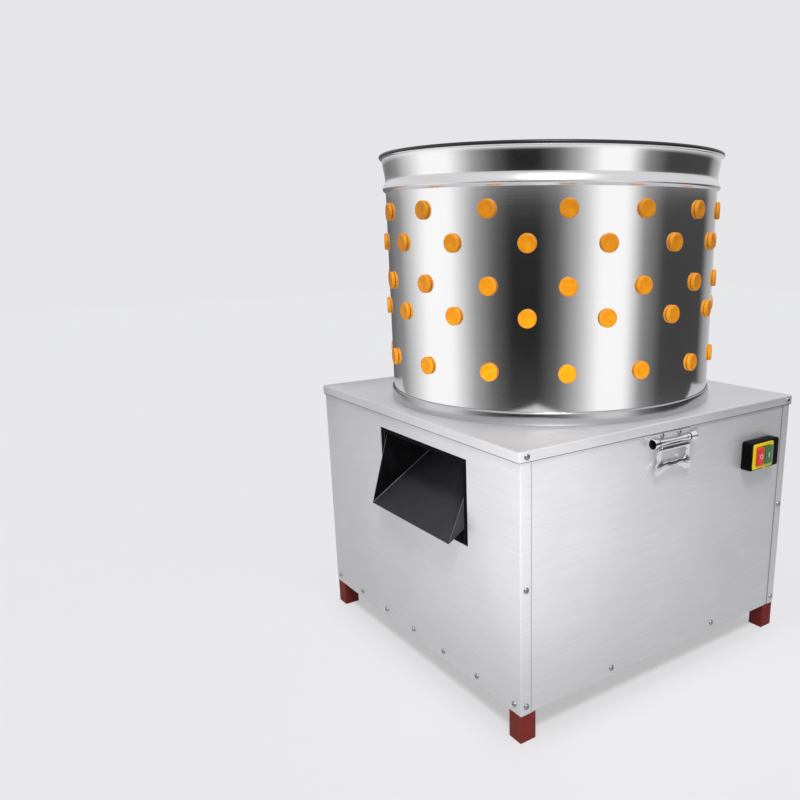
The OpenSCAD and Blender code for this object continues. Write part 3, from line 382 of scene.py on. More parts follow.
# The same primer inside the cabinet, painted darker as painted shade.
OXIDE_PAINTED_SHADE = skin("oxide_paint_painted_shade", "#2C0F0C", "#1E0907", 0.64, 0.07, 18, 1.6, 0.20, edge_wear_and_highlight="#4A201B",
                   sheen=0.1)
# Dark hot-rolled sheet of the chute: near black, with a faint bloom.
DARK_SHEET = skin("dark_rolled_sheet", "#39383D", "#323136", 0.62, 0.06, 26, 1.2, 0.08, sheen=0.15)
# Its shaded inner cheek and the flanges behind the panel, painted black as painted shade, and its pale cut
# edges and weld.
SHEET_PAINTED_SHADE = skin("black_painted_shade_sheet", "#131315", "#0C0C0D", 0.66, 0.05, 26, 1.2, 0.08, sheen=0.02)
CUT_EDGE = skin("bare_cut_edge", "#77767A", "#66656A", 0.50, 0.06, 10, 1.0, 0.05, metallic=0.5)
# Moulded natural rubber, orange: semi-matte, with a slight mottle, a soft skin and a painted highlight on its
# rims.
RUBBER = skin("orange_moulded_rubber", "#FAA50F", "#F58F00", 0.42, 0.06, 9, 1.0, 0.12, edge_wear_and_highlight="#FFC145",
              sheen=0.3)
# Grey iron castings: coarse sand skin, dull.
IRON = skin("grey_iron_casting", "#5B5F63", "#45484C", 0.62, 0.08, 14, 1.8, 0.5, metallic=0.4)
# Blue-grey motor enamel over cast ribs.
ENAMEL = skin("motor_enamel", "#4E6878", "#405866", 0.40, 0.06, 20, 1.4, 0.2, edge_wear_and_highlight="#7C8F9A")
# ABS of the switch: black with a fine moulded texture.
BLACK_ABS = skin("black_moulded_abs", "#0D0D0E", "#070708", 0.45, 0.05, 10, 0.8, 0.05, sheen=0.06)
YELLOW_ABS = skin("yellow_moulded_abs", "#FFE92A", "#FFE000", 0.36, 0.05, 8, 0.8, 0.05, sheen=0.3)
RED_ABS = skin("red_moulded_abs", "#F04A44", "#E0322C", 0.30, 0.05, 7, 0.8, 0.05)
GREEN_ABS = skin("green_moulded_abs", "#3C8A48", "#2C7439", 0.30, 0.05, 7, 0.8, 0.05)
IVORY_ABS = skin("ivory_moulded_abs", "#E4DAB8", "#D6CAA4", 0.42, 0.05, 8, 0.8, 0.05)
WHITE_MARK = skin("white_printed_mark", "#F2F0EC", "#E2DFDA", 0.45, 0.05, 6, 0.8, 0.02)
SMOKY_ABS = skin("smoky_clear_cover", "#A4A287", "#8C8A70", 0.22, 0.04, 8, 0.8, 0.03)
# Black rubber of belts and paddles.
BLACK_RUBBER = skin("black_rubber", "#262627", "#1A1A1B", 0.68, 0.06, 9, 1.0, 0.2)
# The unlit inside of a rolled tube.
HOLLOW = skin("dark_hollow", "#0C0C0D", "#070708", 0.70, 0.05, 6, 1.0, 0.05)
print("skins done:", len(bpy.data.materials), "materials in all")

# %% [markdown]
# ## From mesh to piece
# Every new mesh becomes a piece in the same few steps: link it, let it ride on a body and hide
# the solids it stands for. Curved faces are shaded smooth, and an edge sharper than a set angle
# stays crisp.

# %% Pieces
def piece(name, mesh, body, slot, *nodes, crisp=35):
    """Puts a finished mesh in the scene as a piece of a body, in the place of some nodes."""
    mesh.shade_smooth()
    mesh.set_sharp_from_angle(angle=math.radians(crisp))
    made = placed(name, mesh)
    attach(made, body)
    if nodes:
        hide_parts(*nodes)
    print("piece", name, "on", body, "with", len(mesh.polygons), "faces")
    return made


# %% Mesh helpers
def opened(mesh):
    """The form of a mesh that bmesh can edit."""
    shape = bmesh.new()
    shape.from_mesh(mesh)
    return shape


def closed_mesh(shape, name, finish):
    """Merges doubles, turns faces outwards and gives the bmesh to a named mesh with one finish."""
    bmesh.ops.remove_doubles(shape, verts=shape.verts, dist=0.002 * MM)
    bmesh.ops.recalc_face_normals(shape, faces=shape.faces)
    for face in shape.faces:
        face.material_index = 0
    mesh = bpy.data.meshes.new(name)
    shape.to_mesh(mesh)
    shape.free()
    mesh.materials.append(finish)
    return mesh


def evaluated(obj):
    """The plain mesh that an object's modifiers make, once the helper object is gone."""
    mesh = bpy.data.meshes.new_from_object(obj.evaluated_get(bpy.context.evaluated_depsgraph_get()))
    bpy.data.objects.remove(obj)
    return mesh


def joined(name, meshes):
    """One mesh from several, each keeping its own finish."""
    shape = bmesh.new()
    finishes = []
    for mesh in meshes:
        start = len(shape.faces)
        shape.from_mesh(mesh)
        shape.faces.ensure_lookup_table()
        shift = len(finishes)
        for face in shape.faces[start:]:
            face.material_index += shift
        finishes.extend(mesh.materials)
    whole = bpy.data.meshes.new(name)
    shape.to_mesh(whole)
    shape.free()
    for finish in finishes:
        whole.materials.append(finish)
    return whole


def dress(mesh, pick, *finishes):
    """Adds finishes, and gives each face the one whose number pick says; 0 leaves it as it is."""
    before = len(mesh.materials) - 1
    for finish in finishes:
        mesh.materials.append(finish)
    for face in mesh.polygons:
        number = pick(face)
        if number:
            face.material_index = before + number
    return mesh


print("helpers ready")

# %% [markdown]
# ## Kept solids
# The pieces inside the cabinet have the right shape already. A copy of each solid is merged, its
# flat faces are cleaned up and its sharp edges get a small bevel, because a real edge is never
# perfectly sharp and the bevel catches the light. Flat sheets simply keep their solid.

# %% Bevelled copies of solids
def refined(node, body, slot, finish, bevel, crisp=35):
    """A copy of a solid with its edges broken by a bevel, which takes the solid's place."""
    shape = opened(NODES[node].data)
    bmesh.ops.remove_doubles(shape, verts=shape.verts, dist=0.001 * MM)
    bmesh.ops.dissolve_limit(shape, angle_limit=math.radians(0.5), verts=shape.verts, edges=shape.edges)
    mesh = bpy.data.meshes.new(node)
    shape.to_mesh(mesh)
    shape.free()
    helper = placed(node + "_helper", mesh)
    edge = helper.modifiers.new("edge", "BEVEL")
    edge.width = bevel * MM
    edge.segments = 2
    edge.limit_method = "ANGLE"
    edge.angle_limit = math.radians(40)
    edge.use_clamp_overlap = True
    fine = evaluated(helper)
    fine.materials.clear()
    fine.materials.append(finish)
    return piece("fine_" + node, fine, body, slot, node, crisp=crisp)


for side in ("front_left", "front_right", "rear_left", "rear_right"):
    refined(side + "_leg", "base", "oxide_paint", OXIDE, 1.5)
# The frame inside the cabinet gets the primer painted dark as painted shade.
for node in ("top_rails", "bottom_rails", "drive_rails", "drive_crossbars", "bearing_rails",
             "bearing_crossbars", "bearing_plate", "drive_plate"):
    refined(node, "base", "oxide_paint", OXIDE_PAINTED_SHADE, 0.8)
for node, slot, finish, bevel in (
        ("bearing_housings", "cast_iron", IRON, 1.2), ("shaft_bearings", "machined_steel", TURNED, 0.6),
        ("bearing_bolts", "zinc_fasteners", ZINC, 0.5), ("motor_body", "motor_paint", ENAMEL, 0.4),
        ("motor_end_bell", "motor_paint", ENAMEL, 1.5), ("fan_cowl", "motor_paint", ENAMEL, 0.8),
        ("terminal_box", "black_plastic", BLACK_ABS, 2.0), ("run_capacitor", "black_plastic", BLACK_ABS, 1.2),
        ("motor_bolts", "zinc_fasteners", ZINC, 0.5), ("drive_belts", "black_rubber", BLACK_RUBBER, 0.8),
        ("cable_gland", "black_plastic", BLACK_ABS, 0.6),
        ("switch_contact_block", "ivory_plastic", IVORY_ABS, 0.8)):
    refined(node, "base", slot, finish, bevel)
for node, slot, finish, bevel in (
        ("turntable_hub", "cast_iron", IRON, 1.5), ("main_shaft", "machined_steel", TURNED, 0.8),
        ("driven_pulley", "cast_iron", IRON, 0.8), ("sweep_paddles", "black_rubber", BLACK_RUBBER, 1.0),
        ("hub_bolts_group", "zinc_fasteners", ZINC, 0.6), ("cap_nut", "zinc_fasteners", ZINC, 1.0)):
    refined(node, "turntable", slot, finish, bevel)
refined("turntable_plate", "turntable", "polished_stainless", POLISHED, 0.5, crisp=15)
for node, slot, finish, bevel in (
        ("motor_rotor", "machined_steel", TURNED, 0.8), ("motor_pulley", "cast_iron", IRON, 0.6),
        ("motor_fan", "black_plastic", BLACK_ABS, 0.4)):
    refined(node, "rotor", slot, finish, bevel)

# %% Finishes on the flat sheets
for node, finish in (("front_panel", BRUSHED), ("rear_panel", BRUSHED), ("feather_tray", DECK_STEEL)):
    NODES[node].data.materials.clear()
    NODES[node].data.materials.append(finish)
print("sheets finished")

# %% [markdown]
# ## Turning a profile
# The barrel, its foot ring, the fingers and the screw heads are all turned shapes: one profile
# swung round an axis. Blender's Screw modifier could do it. A node tree does it here instead,
# because its inputs have names: it reads the profile's points, bends a grid round the axis and
# welds the seam.

# %% Tree helpers
def new_tree(name, **inputs):
    """An empty tree with named inputs, each of a kind, and the sockets that they give."""
    tree = bpy.data.node_groups.new(name, "GeometryNodeTree")
    for label, kind in inputs.items():
        tree.interface.new_socket(label, in_out="INPUT", socket_type="NodeSocket" + kind)
    tree.interface.new_socket("Geometry", in_out="OUTPUT", socket_type="NodeSocketGeometry")
    return tree, add(tree, "NodeGroupInput").outputs


def finished_tree(tree, geometry, finish):
    """Ends a tree: what it made becomes real geometry with a finish."""
    real = add(tree, "GeometryNodeRealizeInstances", {"Geometry": geometry})
    done = add(tree, "GeometryNodeSetMaterial", {"Geometry": real, "Material": finish})
    add(tree, "NodeGroupOutput", {"Geometry": done})
    return tree


def on_circle(tree, angle, radius, height):
    """The place at an angle round the Z axis, with a radius and a height."""
    parts = {2: height}
    for axis, operation in enumerate(("COSINE", "SINE")):
        swing = add(tree, "ShaderNodeMath", {0: angle}, operation=operation)
        parts[axis] = add(tree, "ShaderNodeMath", {0: radius, 1: swing}, operation="MULTIPLY")
    return add(tree, "ShaderNodeCombineXYZ", parts)


print("tree helpers ready")

# %% Turning tree
def turning_tree():
    """The tree that swings a profile's points round the Z axis."""
    tree, given = new_tree("turned_profile", Profile="Geometry", Segments="Int", Finish="Material")
    profile = given["Profile"]
    count = add(tree, "GeometryNodeAttributeDomainSize", {"Geometry": profile}).outputs["Point Count"]
    columns = add(tree, "ShaderNodeMath", {0: given["Segments"], 1: 1.0}, operation="ADD")
    grid = add(tree, "GeometryNodeMeshGrid", {"Size X": 1.0, "Size Y": 1.0, "Vertices X": columns,
                                              "Vertices Y": count}).outputs["Mesh"]
    here = add(tree, "GeometryNodeInputPosition")
    spot = add(tree, "ShaderNodeSeparateXYZ", {0: here}).outputs
    last = add(tree, "ShaderNodeMath", {0: count, 1: 1.0}, operation="SUBTRACT")
    share = add(tree, "ShaderNodeMath", {0: spot["Y"], 1: 0.5}, operation="ADD")
    step = add(tree, "ShaderNodeMath", {0: share, 1: last}, operation="MULTIPLY")
    index = add(tree, "ShaderNodeMath", {0: step}, operation="ROUND")
    read = add(tree, "GeometryNodeSampleIndex", {"Geometry": profile, "Value": here, "Index": index},
               data_type="FLOAT_VECTOR", domain="POINT")
    point = add(tree, "ShaderNodeSeparateXYZ", {0: read}).outputs
    angle = add(tree, "ShaderNodeMath", {0: spot["X"], 1: 2 * math.pi}, operation="MULTIPLY")
    swung = on_circle(tree, angle, point["X"], point["Z"])
    bent = add(tree, "GeometryNodeSetPosition", {"Geometry": grid, "Position": swung})
    welded = add(tree, "GeometryNodeMergeByDistance", {"Geometry": bent, "Distance": 0.002 * MM})
    return finished_tree(tree, welded, given["Finish"])


def run_tree(tree, mesh, **inputs):
    """Runs a tree on a mesh with its named inputs, and gives the plain mesh that comes out."""
    helper = placed("helper", mesh)
    modifier = helper.modifiers.new("tree", "NODES")
    modifier.node_group = tree
    sockets = {item.name: item.identifier for item in tree.interface.items_tree if item.in_out == "INPUT"}
    for name, value in inputs.items():
        modifier[sockets[name]] = value
    return evaluated(helper)


TURNING = turning_tree()
print("turning tree:", len(TURNING.nodes), "nodes")

# %% Turned shapes
def turned(name, profile, segments, finish):
    """The closed shape that a profile of (radius, height) points in millimetres sweeps."""
    line = bpy.data.meshes.new(name + "_profile")
    line.from_pydata([(r * MM, 0, z * MM) for r, z in profile], [], [])
    shape = opened(run_tree(TURNING, line, Segments=segments, Finish=finish))
    bmesh.ops.dissolve_degenerate(shape, edges=shape.edges, dist=0.001 * MM)
    return closed_mesh(shape, name, finish)


def arc(centre, radius, start, end, steps):
    """Points on an arc of a profile, from one angle to another in degrees."""
    angles = [math.radians(start + (end - start) * i / steps) for i in range(steps + 1)]
    return [(centre[0] + radius * math.cos(a), centre[1] + radius * math.sin(a)) for a in angles]


print("turned shapes ready")

# %% [markdown]
# ## The barrel
# A sheet is rolled into a drum, pressed with a bead near the top, flared above it, and its edge
# is rolled over a wire. The profile runs up the outside, round the rolled edge and down the
# inside, so the wall has its real thickness. A separate half-round ring hides the foot.

# %% Barrel
BARREL_R = 284.0
WALL = 1.5
FIT = 0.05
BEAD_DROP = 50
BEAD_H = 20
BEAD_OUT = 5
BEAD_SAG = 0.55
BEAD_STEPS = 24
FLARE = 6
FLARE_DROP = 14
HEM_DROP = 4
RIM_R = 3.5
BARREL_SEGMENTS = 192
deck_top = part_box("deck")[1].z / MM
barrel_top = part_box("barrel_shell")[1].z / MM
bead_z = barrel_top - BEAD_DROP
rim_z = barrel_top - RIM_R


def bead_line(radius):
    """The wall's line from the deck to the rolled edge, with the pressed bead on the way."""
    points = [(radius, deck_top)]
    for i in range(BEAD_STEPS + 1):
        share = i / BEAD_STEPS
        swell = BEAD_OUT * 0.5 * (1 - math.cos(2 * math.pi * share ** BEAD_SAG))
        points.append((radius + swell, bead_z + BEAD_H * (share - 0.5)))
    points.append((radius + 0.15 * FLARE, bead_z + BEAD_H * 0.9))
    points.append((radius + 0.55 * FLARE, rim_z - FLARE_DROP))
    points.append((radius + FLARE - 1.0, rim_z - HEM_DROP))
    return points


def barrel_finish(face):
    """Painted shade on the rolled edge, satin on the bead, polished elsewhere."""
    if face.center.z > (rim_z - 2.0) * MM:
        return 1
    return 2 if abs(face.center.z - bead_z * MM) < BEAD_H / 2 * MM else 0


outside = bead_line(BARREL_R)
inside = bead_line(BARREL_R - WALL)
rolled = arc((BARREL_R + FLARE, rim_z), RIM_R, -110, 200, 20)
barrel = turned("barrel", outside + rolled + inside[::-1] + [outside[0]], BARREL_SEGMENTS, POLISHED)
# The rolled edge gets a dark painted shade.
piece("barrel", dress(barrel, barrel_finish, RIM_PAINTED_SHADE, SATIN), "base", "polished_stainless", "barrel_shell",
      crisp=40)

# %% Foot ring
FOOT_H = 21
FOOT_OUT = 4
FOOT_EDGE = 1.5
FOOT_SEAM = 0.9
FOOT_BULGE = 0.7

foot = [(BARREL_R + FIT, deck_top), (BARREL_R + FOOT_OUT - FOOT_EDGE, deck_top)]
for degrees in range(-64, 89, 8):
    rise = math.radians(degrees)
    bulge = (FOOT_OUT - FOOT_SEAM) * math.cos(rise) ** FOOT_BULGE
    foot.append((BARREL_R + FOOT_SEAM + bulge, deck_top + FOOT_H / 2 * (1 + math.sin(rise))))
foot += [(BARREL_R + FOOT_SEAM, deck_top + FOOT_H), (BARREL_R + FOOT_SEAM, deck_top + FOOT_H / 2),
         (BARREL_R + FIT, deck_top + FOOT_H / 2), (BARREL_R + FIT, deck_top)]
# The foot ring's greyer steel is a painted shade that sets it off from the deck.
piece("barrel_foot_ring", turned("barrel_foot_ring", foot, BARREL_SEGMENTS, FOOT_STEEL_PAINTED_SHADE), "base",
      "polished_stainless", "barrel_base_ring")

# %% [markdown]
# ## Rubber fingers
# Each finger is pulled through a hole until its head seats outside the wall, and its ribbed body
# points into the barrel. One finger is turned, and a tree sets copies of it round a circle: the
# wall's rows lean outwards, and the turntable's rings stand on the plate.

# %% One finger
HEAD_D = 28
HEAD_H = 6
HEAD_ROUND = 2.6
HOLE_D = 19
ROOT_D = 24
TIP_D = 16
TIP_ROUND = 3
PLAIN_ROOT = 3
PLAIN_TIP = 5
RIBS = 6
RIB_DEPTH = 1.4
RIB_SHAPE = ((0.12, 0), (0.36, -0.15), (0.6, 0), (0.7, 0.85), (0.85, 1.0), (0.98, 0.85))
FINGER_SEGMENTS = 26
WALL_NECK = 1.85
WALL_FINGER = 80
PLATE_NECK = 4.1
PLATE_FINGER = 58


def finger_profile(neck, length):
    """Head above 0, neck through the sheet, ribbed body below, as points from the axis round."""
    head = HEAD_D / 2
    body = length - neck
    pitch = (body - (PLAIN_ROOT + PLAIN_TIP)) / RIBS
    points = [(0, HEAD_H - 0.9), (head * 0.45, HEAD_H - 0.7), (head - 4.4, HEAD_H)]
    points += arc((head - HEAD_ROUND, HEAD_H - HEAD_ROUND), HEAD_ROUND, 80, 0, 5)
    points += [(head, 0.8), (head - 0.8, 0), (HOLE_D / 2, 0), (HOLE_D / 2, -neck), (ROOT_D / 2, -neck)]
    for i in range(RIBS):
        for share, groove in RIB_SHAPE:
            down = PLAIN_ROOT + (i + share) * pitch
            radius = ROOT_D / 2 - (ROOT_D - TIP_D) / 2 * down / body
            points.append((radius - groove * RIB_DEPTH, -neck - down))
    points += [(r, z - length) for r, z in arc((TIP_D / 2 - TIP_ROUND, TIP_ROUND), TIP_ROUND, 0, -90, 4)]
    return points + [(0, -length)]


wall_finger = turned("wall_finger", finger_profile(WALL_NECK, WALL_FINGER), FINGER_SEGMENTS, RUBBER)
plate_finger = turned("plate_finger", finger_profile(PLATE_NECK, PLATE_NECK + PLATE_FINGER), FINGER_SEGMENTS,
                      RUBBER)
print("one finger:", len(wall_finger.polygons), "faces")

# %% Fingers on a circle
def circle_tree():
    """The tree that sets copies of a finger round a circle."""
    tree, given = new_tree("fingers_on_a_circle", Finger="Geometry", Count="Int", Radius="Float",
                           Height="Float", Phase="Float", Lean="Float", Finish="Material")
    index = add(tree, "GeometryNodeInputIndex")
    step = add(tree, "ShaderNodeMath", {0: 2 * math.pi, 1: given["Count"]}, operation="DIVIDE")
    angle = add(tree, "ShaderNodeMath", {0: index, 1: step, 2: given["Phase"]}, operation="MULTIPLY_ADD")
    spot = on_circle(tree, angle, given["Radius"], given["Height"])
    points = add(tree, "GeometryNodePoints", {"Count": given["Count"], "Position": spot})
    turn = add(tree, "ShaderNodeCombineXYZ", {1: given["Lean"], 2: angle})
    copies = add(tree, "GeometryNodeInstanceOnPoints", {"Points": points, "Instance": given["Finger"],
                                                        "Rotation": turn})
    return finished_tree(tree, copies, given["Finish"])


CIRCLE = circle_tree()
print("circle tree:", len(CIRCLE.nodes), "nodes")

# %% Five rows in the wall
ROW_HEIGHTS = [80, 161.5, 207.5, 269, 317]
PER_ROW = 15
ROW_PHASE = 19.6
for row, height in enumerate(ROW_HEIGHTS, start=1):
    stagger = 0 if row % 2 else 180 / PER_ROW
    fingers = run_tree(CIRCLE, wall_finger, Count=PER_ROW, Radius=(BARREL_R + FIT) * MM,
                       Height=(deck_top + height) * MM, Phase=math.radians(ROW_PHASE + stagger),
                       Lean=math.pi / 2, Finish=RUBBER)
    piece("rubber_fingers_row_%d" % row, fingers, "base", "orange_rubber", "wall_fingers_row_%d" % row,
          crisp=50)

# %% Three rings on the turntable
RING_RADII = [95, 162.5, 230]
RING_STEP = 6
rings = []
for number, radius in enumerate(RING_RADII, start=1):
    count = RING_STEP * number
    rings.append(run_tree(CIRCLE, plate_finger, Count=count, Radius=radius * MM, Height=(deck_top - FIT) * MM,
                          Phase=math.pi / count, Lean=math.pi, Finish=RUBBER))
piece("rubber_fingers_turntable", joined("rubber_fingers_turntable", rings), "turntable", "orange_rubber",
      "plate_fingers", crisp=50)

# %% [markdown]
# ## The deck
# One sheet covers the cabinet: it has a round hole under the barrel and its edges are folded
# down into a lip. It is made as a stack of closed loops with the same number of points, round at
# the hole and square at the lip, joined by quads. The fold is a short arc of loops.

# %% Loops of points
SHEET_CORNER = 2.0
EDGE_POINTS = 28
CORNER_POINTS = 4
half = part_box("deck")[1].x / MM


def square_loop(reach, corner, z):
    """A rounded square of half-width reach, as points in millimetres that start on the +X side."""
    loop = []
    for quarter in range(4):
        turn = Matrix.Rotation(math.radians(90 * quarter), 2)
        side = [Vector((reach, (reach - corner) * (2 * i / EDGE_POINTS - 1))) for i in range(EDGE_POINTS)]
        bend = [Vector((reach - corner + corner * math.cos(a), reach - corner + corner * math.sin(a)))
                for a in [math.pi / 2 * i / CORNER_POINTS for i in range(CORNER_POINTS)]]
        loop += [turn @ p for p in side + bend]
    return [(p.x, p.y, z) for p in loop]


def round_loop(radius, z):
    """A circle whose points face those of the square loop."""
    angles = [math.atan2(y, x) for x, y, _ in square_loop(half, SHEET_CORNER, 0)]
    return [(radius * math.cos(a), radius * math.sin(a), z) for a in angles]


def looped(loops, closed=True):
    """A bmesh of quads between loops of equally many points, in millimetres."""
    shape = bmesh.new()
    rows = [[shape.verts.new((x * MM, y * MM, z * MM)) for x, y, z in loop] for loop in loops]
    if closed:
        rows.append(rows[0])
    for one, two in zip(rows, rows[1:]):
        for i in range(len(one)):
            j = (i + 1) % len(one)
            shape.faces.new((one[i], one[j], two[j], two[i]))
    return shape


print("a loop has", len(square_loop(half, SHEET_CORNER, 0)), "points")

# %% Deck
DECK_T = 1.5
FOLD_R = 2.5
DECK_HOLE_R = 277
HOLE_EDGE = 0.3
SHADE_LINE_W = 1.2
lip_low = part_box("deck")[0].z / MM


def deck_finish(face):
    """The lip's cut edge and a painted shade line above it, dull; brushed level on the upright lip, brushed
    across on the top.
    """
    if face.center.z < (lip_low + SHADE_LINE_W) * MM:
        return 2
    return 1 if abs(face.normal.z) < 0.5 else 0


fold = (half - FOLD_R, deck_top - FOLD_R)
loops = [round_loop(DECK_HOLE_R, deck_top - DECK_T), round_loop(DECK_HOLE_R, deck_top - HOLE_EDGE),
         round_loop(DECK_HOLE_R + HOLE_EDGE, deck_top)]
loops += [square_loop(reach, SHEET_CORNER, z) for reach, z in arc(fold, FOLD_R, 90, 0, 6)]
loops += [square_loop(half, SHEET_CORNER, lip_low + SHADE_LINE_W), square_loop(half, SHEET_CORNER, lip_low),
          square_loop(half - DECK_T, SHEET_CORNER / 2, lip_low)]
loops += [square_loop(reach, SHEET_CORNER / 2, z) for reach, z in arc(fold, FOLD_R - DECK_T, 0, 90, 3)]
deck = closed_mesh(looped(loops), "folded_deck", DECK_STEEL)
# A thin grey painted shade line runs along the foot of the lip, over its cut edge.
piece("folded_deck", dress(deck, deck_finish, BRUSHED, LIP_EDGE_AND_SHADE_LINE), "base", "stainless_sheet", "deck", crisp=25)

# %% [markdown]
# ## Wrapped side panels
# The left and right sheets wrap round the cabinet's corners: their edges are folded into flanges
# that overlap the front and rear panels. Seen from above each is a C, so a C is drawn with round
# folds and pulled up. The left one gets its chute opening from a boolean cut.

# %% Panel outline
PANEL_T = 1.0
PANEL_FOLD = 2.0
FLANGE_W = 20
panel_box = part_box("left_panel")
panel_low = panel_box[0].z / MM
panel_high = panel_box[1].z / MM
panel_out = -panel_box[0].x / MM
flange_out = panel_box[1].y / MM


def wrapped_outline():
    """The C of a side panel, on the +X side, seen from above."""
    corner = (panel_out - PANEL_FOLD, flange_out - PANEL_FOLD)
    outer = arc(corner, PANEL_FOLD, 0, 90, 5)
    outer += [(panel_out - FLANGE_W + SHADE_LINE_W, flange_out), (panel_out - FLANGE_W, flange_out)]
    inner = [(panel_out - FLANGE_W, flange_out - PANEL_T)] + arc(corner, PANEL_FOLD - PANEL_T, 90, 0, 5)
    upper = outer + inner
    return [(x, -y) for x, y in reversed(outer)] + upper + [(x, -y) for x, y in reversed(inner)]


print("panel outline:", len(wrapped_outline()), "points")

# %% Prisms and cuts
def pulled_up(outline, low, high):
    """A prism over an outline in millimetres."""
    shape = looped([[(x, y, z) for x, y in outline] for z in (low, high)], closed=False)
    corners = list(shape.verts)
    shape.faces.new(corners[:len(outline)])
    shape.faces.new(corners[len(outline):])
    return shape


def cut_out(name, mesh, blade, crossing=False):
    """A mesh without the space of a blade; crossing says that parts of the blade cross."""
    body = placed(name + "_helper", mesh)
    cutter = placed(name + "_cutter", blade)
    cut = body.modifiers.new("cut", "BOOLEAN")
    cut.object = cutter
    cut.operation = "DIFFERENCE"
    cut.solver = "EXACT"
    cut.use_self = crossing
    whole = evaluated(body)
    bpy.data.objects.remove(cutter)
    return whole


print("prisms and cuts ready")

# %% Side panels
OPENING_Y = (-177.5, 87.5)
OPENING_Z = (274, 412)
CUT_REACH = 5


def flange_finish(face):
    """A grey painted shade line on the narrow strip along a flange's free edge, the rest brushed."""
    on_strip = abs(face.center.x) < (panel_out - FLANGE_W + SHADE_LINE_W) * MM
    return 1 if on_strip and abs(face.normal.z) < 0.5 else 0


right = closed_mesh(pulled_up(wrapped_outline(), panel_low, panel_high), "right_wrap", BRUSHED)
mirrored = [(-x, y) for x, y in reversed(wrapped_outline())]
uncut = closed_mesh(pulled_up(mirrored, panel_low, panel_high), "left_wrap", BRUSHED)
near_y, far_y = OPENING_Y
opening = [(side * CUT_REACH - panel_out, y)
           for side, y in ((-1, near_y), (1, near_y), (1, far_y), (-1, far_y))]
left = cut_out("left", uncut, closed_mesh(pulled_up(opening, *OPENING_Z), "opening", BRUSHED))
# The flanges' free edges get a grey painted shade line.
for side, sheet in (("right", right), ("left", left)):
    piece(side + "_wrapped_panel", dress(sheet, flange_finish, FLANGE_EDGE_AND_SHADE_LINE), "base", "stainless_sheet",
          side + "_panel", crisp=25)

# %% [markdown]
# ## Panel screws
# Thirty pan-head screws hold the sheets. One screw is turned and its cross recess is cut by a
# boolean. A tree puts a copy on each point, faces it along that point's own direction and spins
# it by a seeded random angle, because nobody lines up screw slots.

# %% One screw
SCREW_HEAD_D = 9.6
SCREW_HEAD_H = 2.6
SCREW_ROUND = 2.2
SCREW_D = 4
SCREW_LEN = 10
RECESS_W = 1.1
RECESS_L = 5.2
RECESS_H = 2.8
RECESS_RISE = 0.2


def cross_screw():
    """A pan-head screw along Z with its seat at 0 and a cross recess in its head."""
    profile = [(0, SCREW_HEAD_H), (1.6, SCREW_HEAD_H)]
    profile += arc((SCREW_HEAD_D / 2 - SCREW_ROUND, SCREW_HEAD_H - SCREW_ROUND), SCREW_ROUND, 75, 0, 4)
    profile += [(SCREW_HEAD_D / 2, 0), (SCREW_D / 2, 0), (SCREW_D / 2, -SCREW_LEN), (0, -SCREW_LEN)]
    cross = bmesh.new()
    for width, length in ((RECESS_W, RECESS_L), (RECESS_L, RECESS_W)):
        blade = bmesh.ops.create_cube(cross, size=1.0)["verts"]
        bmesh.ops.scale(cross, verts=blade, vec=(width * MM, length * MM, RECESS_H * MM))
        bmesh.ops.translate(cross, verts=blade, vec=(0, 0, (SCREW_HEAD_H + RECESS_RISE) * MM))
    recess = bpy.data.meshes.new("recess")
    cross.to_mesh(recess)
    cross.free()
    return cut_out("screw", turned("screw", profile, 20, ZINC), recess, crossing=True)


print("screw head", SCREW_HEAD_D, "mm wide")

# %% Screw places
SIDE_SCREWS = 7
SCREW_Z = 61
RAIL_MID = 292
FLANGE_SCREW_X = 297
FLANGE_SCREW_Z = 247.5
FRONT_SCREW_X = 123
LIP_SCREW_Z = 444


def screw_places():
    """Every screw as a place in millimetres and the direction that its head faces."""
    places = []
    for side in (-1, 1):
        for i in range(SIDE_SCREWS):
            y = 2 * RAIL_MID * (i / (SIDE_SCREWS - 1) - 0.5)
            places.append(((side * panel_out, y, SCREW_Z), (side, 0, 0)))
        for hand in (-1, 1):
            for z in (SCREW_Z, FLANGE_SCREW_Z):
                places.append(((hand * FLANGE_SCREW_X, side * flange_out, z), (0, side, 0)))
            places.append(((hand * FRONT_SCREW_X, side * panel_out, SCREW_Z), (0, side, 0)))
            places.append(((hand * FLANGE_SCREW_X, side * half, LIP_SCREW_Z), (0, side, 0)))
    return places


places = screw_places()
print(len(places), "screws")

# %% Screws on the panels
SCREW_SEED = 7


def facing_tree():
    """The tree that puts a screw on each point, along the point's own direction."""
    tree, given = new_tree("screws_on_points", Points="Geometry", Screw="Object", Seed="Int",
                           Finish="Material")
    screw = add(tree, "GeometryNodeObjectInfo", {"Object": given["Screw"]}).outputs["Geometry"]
    facing = add(tree, "GeometryNodeInputNamedAttribute", {"Name": "facing"}, data_type="FLOAT_VECTOR")
    aimed = add(tree, "FunctionNodeAlignRotationToVector", {"Vector": facing}, axis="Z")
    spin = add(tree, "FunctionNodeRandomValue", {"Seed": given["Seed"]}, data_type="FLOAT").outputs[1]
    angle = add(tree, "ShaderNodeMath", {0: spin, 1: 2 * math.pi}, operation="MULTIPLY")
    twist = add(tree, "FunctionNodeAxisAngleToRotation", {"Axis": (0, 0, 1), "Angle": angle})
    both = add(tree, "FunctionNodeRotateRotation", {0: aimed, 1: twist}, rotation_space="LOCAL")
    copies = add(tree, "GeometryNodeInstanceOnPoints", {"Points": given["Points"], "Instance": screw,
                                                        "Rotation": both})
    return finished_tree(tree, copies, given["Finish"])


